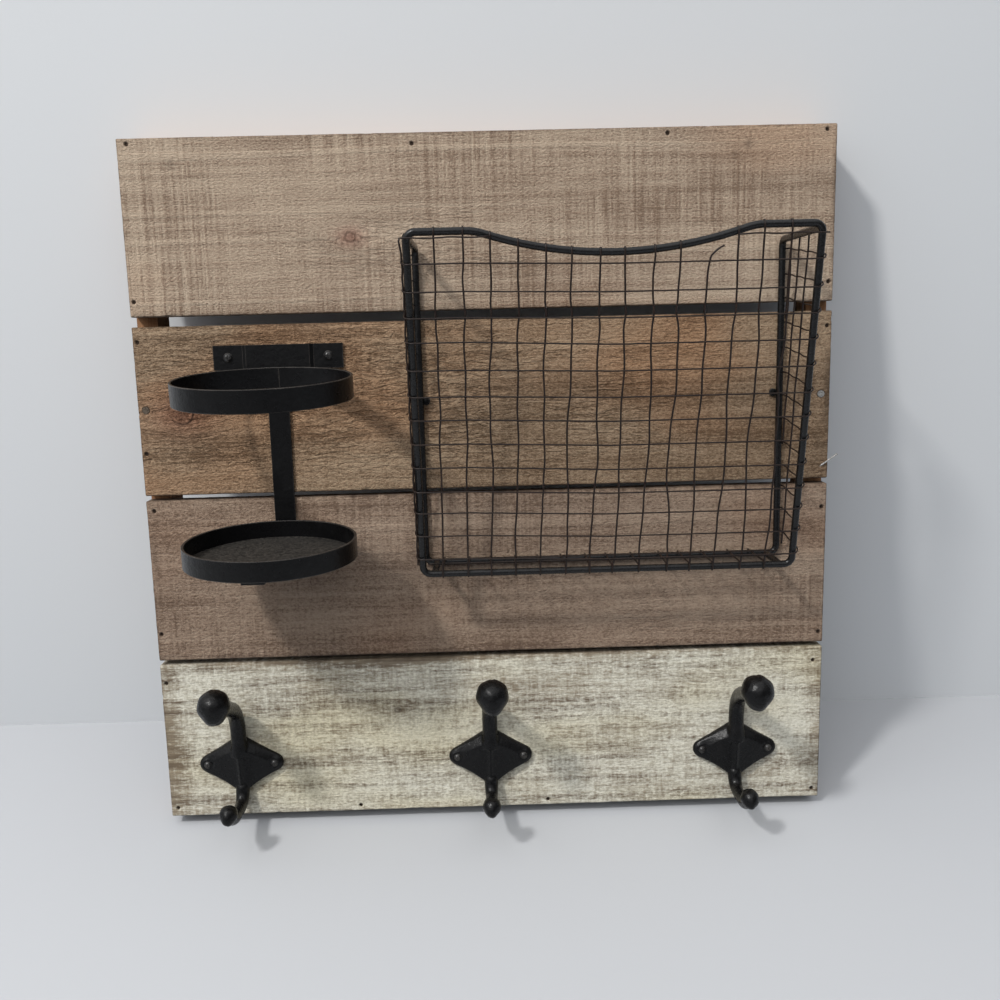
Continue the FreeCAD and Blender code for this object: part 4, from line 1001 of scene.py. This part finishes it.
def band_piece(name, middle, radius, depth, height, lean, seed, seam, node_name):
    """A leaning flat band, slightly uneven, with small chamfers and, if asked, a butt seam at the back."""
    down, out_at = leaning(lean)
    outer = ((0.0, band_chamfer), (0.0, height * 0.33), (0.0, height * 0.66), (0.0, height - band_chamfer))
    inner = [(-band_thickness, low) for out, low in outer[::-1]]
    rims = (-band_chamfer, band_chamfer - band_thickness)
    section = [(rims[0], 0.0), *outer, (rims[0], height), (rims[1], height), *inner, (rims[1], 0.0)]
    if seam > 0.0:
        angles = np.linspace(math.pi / 2.0 + seam, math.pi * 2.5 - seam, 181)
        faces = bar_faces(len(angles), len(section))
    else:
        angles = math.pi / 2.0 + round_angles(180)
        faces = ring_faces(len(angles), len(section), closed=True)
    points = []
    for angle in angles:
        uneven = 0.08 * math.sin(5.0 * angle + seed) - 0.08
        reach = middle + out_at(angle, radius, depth)
        points += [reach + out_at(angle) * (uneven + out) + down * low for out, low in section]
    mesh_piece(name, points, faces, holder_black, "holder_paint", [node_name], smooth=False)


def dish_floor_piece(radius):
    """The dish's floor: a round sheet with a faint wave, a rise at its edge and an underside."""
    down, out_at = leaning(dish_lean)
    rings = np.concatenate([np.linspace(0.04, 0.9, 22), (0.93, 0.96, 0.985, 1.0)])
    top = dish_height - 1.6
    underside = dish_height - 0.2
    points = [dish_middle + down * top]
    angles = round_angles(96)
    for share in rings:
        for angle in angles:
            wave = 0.12 * math.sin(3.0 * angle + share * 9.0) * share + 0.08 * math.sin(7.0 * angle) * share
            rise = 0.5 * max(0.0, (share - 0.9) / 0.1) ** 2
            points.append(dish_middle + out_at(angle) * radius * share + down * (top - wave - rise))
    points += [dish_middle + out_at(angle) * radius + down * underside for angle in angles]
    points.append(dish_middle + down * underside)
    faces = domed_faces(len(rings) + 1, len(angles), flip=True)
    mesh_piece("dish_floor_sheet", points, faces, dish_black, "holder_paint", ["dish_floor"])


def strap_piece(x, width, thickness, path):
    """A flat bar bent along a path of (y, z) places, with small rounds on its edges."""
    path = np.array(path)
    ahead = np.gradient(path, axis=0)
    ahead /= np.linalg.norm(ahead, axis=1)[:, None]
    side = np.stack([ahead[:, 1], -ahead[:, 0]], axis=1)
    points = []
    for place, normal in zip(path, side):
        for shift_x, shift in ((-0.5, -0.5), (0.5, -0.5), (0.5, 0.5), (-0.5, 0.5)):
            points.append((x + shift_x * width, *(place + normal * shift * thickness)))
    faces = bar_faces(len(path), 4, flip=True)
    made = mesh_piece("holder_strap_bar", points, faces, holder_black, "holder_paint", ["holder_strap"],
                      smooth=False)
    rounds = made.modifiers.new("rounds", "BEVEL")
    rounds.width = 0.0004
    rounds.segments = 2


band_piece("holder_ring_band", np.array((-168.2, -119.9, -179.2)), 67.9, 66.0, 17.2, math.radians(4.9), 0.7,
           0.002, "holder_ring")
band_piece("dish_rim_band", dish_middle, 66.5, 66.4, dish_height, dish_lean, 2.1, 0.0, "dish_rim")
dish_floor_piece(64.6)
foot_back_z = dish_middle[2] - dish_height * math.cos(dish_lean) + 66.0 * math.sin(dish_lean) - 1.4
foot_drop = 126.0 * math.tan(dish_lean)
strap_path = [(-49.25, z) for z in np.linspace(-157.3, foot_back_z + 4.0, 30)]
strap_path += [(-49.6, foot_back_z + 1.9), (-50.8, foot_back_z + 0.5), (-52.8, foot_back_z)]
for share in np.linspace(0.08, 1.0, 12):
    strap_path.append((-52.8 - 128.0 * share, foot_back_z - foot_drop * share))
strap_piece(-170.9, 17.3, 2.5, strap_path)


# Basket eyes: small lugs close beside the back rods, each with one screw head
def turned_piece(name, places, profile, material, slot_name, node_names):
    """Small round parts turned about the room's depth axis, from radii and distances forward."""
    angles = round_angles(20)
    parts = []
    for x, y, z in places:
        points = [(x + radius * math.cos(angle), y - forward, z + radius * math.sin(angle))
                  for radius, forward in profile for angle in angles]
        parts.append((points, bar_faces(len(profile), len(angles))))
    mesh_piece(name, *merged(parts), material, slot_name, node_names, smooth=False)


eye_nodes = ("basket_eye_left", "basket_eye_right")
eye_places = []
for name, nearer in zip(eye_nodes, (-2.0, 2.0)):
    corners = [nodes[name].matrix_world @ Vector(corner) for corner in nodes[name].bound_box]
    middle_x = 500.0 * (min(c.x for c in corners) + max(c.x for c in corners))
    middle_z = 500.0 * (min(c.z for c in corners) + max(c.z for c in corners))
    eye_places.append((middle_x + nearer, board_front_y, middle_z))
turned_piece("basket_lugs", eye_places, ((2.6, 0.0), (3.2, 0.4), (3.2, 1.8), (2.8, 2.2)), basket_black,
             "basket_paint", eye_nodes)
turned_piece("basket_lug_screws", eye_places, ((2.0, 2.0), (2.1, 2.5), (1.7, 3.1), (0.9, 3.4)), eye_black,
             "black_screws", ["basket_screws"])


# Stage: a pale wall that the organizer leans on and a pale floor, both seen only from their front
def stage_piece(name, low, high, shown, returned):
    """A plain surface between two edges, that takes the shadow and returns its own tone to the object."""
    s = Shader(name + "_paint")
    seen = 0.0
    for kind in ("Is Camera Ray", "Is Glossy Ray", "Is Transmission Ray"):
        seen = s.math("MAXIMUM", seen, s.node("LightPath", kind, {}))
    tone = s.mix(seen, linear(*returned), linear(*shown))
    normal = s.bump(s.noise(s.place(), 140.0, 3.0), 0.0006, 0.1)
    behind = s.node("NewGeometry", "Backfacing", {})
    put(s.tree, s.math("SUBTRACT", 1.0, behind), s.surface.inputs["Alpha"])
    data = bpy.data.meshes.new(name)
    data.from_pydata([(-4.0, *low), (4.0, *low), (4.0, *high), (-4.0, *high)], [], [(0, 1, 2, 3)])
    data.materials.append(s.finish(tone, 0.9, normal, 0.1))
    placed(name, data)


lean = math.tan(math.radians(12.0))
wall_top_z = 0.0085
floor_back_z = -0.5659
corner_y = (wall_top_z - floor_back_z) * lean / (1.0 + lean * lean)
corner_z = floor_back_z + corner_y * lean
wall_reach = 2.2
floor_reach = 3.0
stage_piece("stage_wall", (corner_y, corner_z), (corner_y - wall_reach * lean, corner_z + wall_reach),
            (231, 233, 234), (200, 202, 204))
stage_piece("stage_floor", (corner_y - floor_reach, corner_z - floor_reach * lean), (corner_y, corner_z),
            (186, 188, 191), (80, 90, 104))

# Light: a key from the upper left front, and a surround that is brighter above
world = bpy.data.worlds.new("surround")
bpy.context.scene.world = world
world.use_nodes = True
sky = world.node_tree
direction = add_node(sky, "TexCoord", "Generated", {})
inputs = {0: direction, 1: (-0.30, -0.35, 0.89)}
toward = add_node(sky, "VectorMath", "Value", inputs, operation="DOT_PRODUCT")
levels = {"Value": toward, "From Min": 0.25, "From Max": 1.0, "To Min": 0.22, "To Max": 1.85}
put(sky, add_node(sky, "MapRange", "Result", levels, interpolation_type="SMOOTHSTEP"),
    sky.nodes["Background"].inputs["Strength"])
put(sky, (0.97, 0.98, 1.0, 1.0), sky.nodes["Background"].inputs["Color"])
key_place = Vector((-1.66, -2.05, 2.02))
key_target = Vector((-0.05, -0.05, -0.28))
key_data = bpy.data.lights.new("key", "AREA")
key_data.shape = "DISK"
key_data.size = 0.36
key_data.energy = 66.0
key_data.color = (1.0, 0.985, 0.965)
key = placed("key", key_data)
key.location = key_place
key.rotation_euler = (key_target - key_place).to_track_quat("-Z", "Y").to_euler()

# Camera, placed by matching known points of the object with the photograph
camera_place = Vector((-0.00284, -0.88048, -0.14958))
camera_turn = Euler((0.1667356, -0.0149813, -0.0273637), "XYZ")
rows = camera_turn.to_matrix() @ Matrix(((1, 0, 0), (0, 0, -1), (0, 1, 0)))
axes = Matrix((rows[0], -rows[1], -rows[2])).transposed()
camera_data = bpy.data.cameras.new("camera")
camera_data.lens = 36.0
camera_data.sensor_width = 36.0
camera = placed("camera", camera_data)
camera.matrix_world = Matrix.Translation(camera_place) @ axes.to_4x4()
bpy.context.scene.camera = camera

bpy.context.scene.view_settings.view_transform = "Standard"
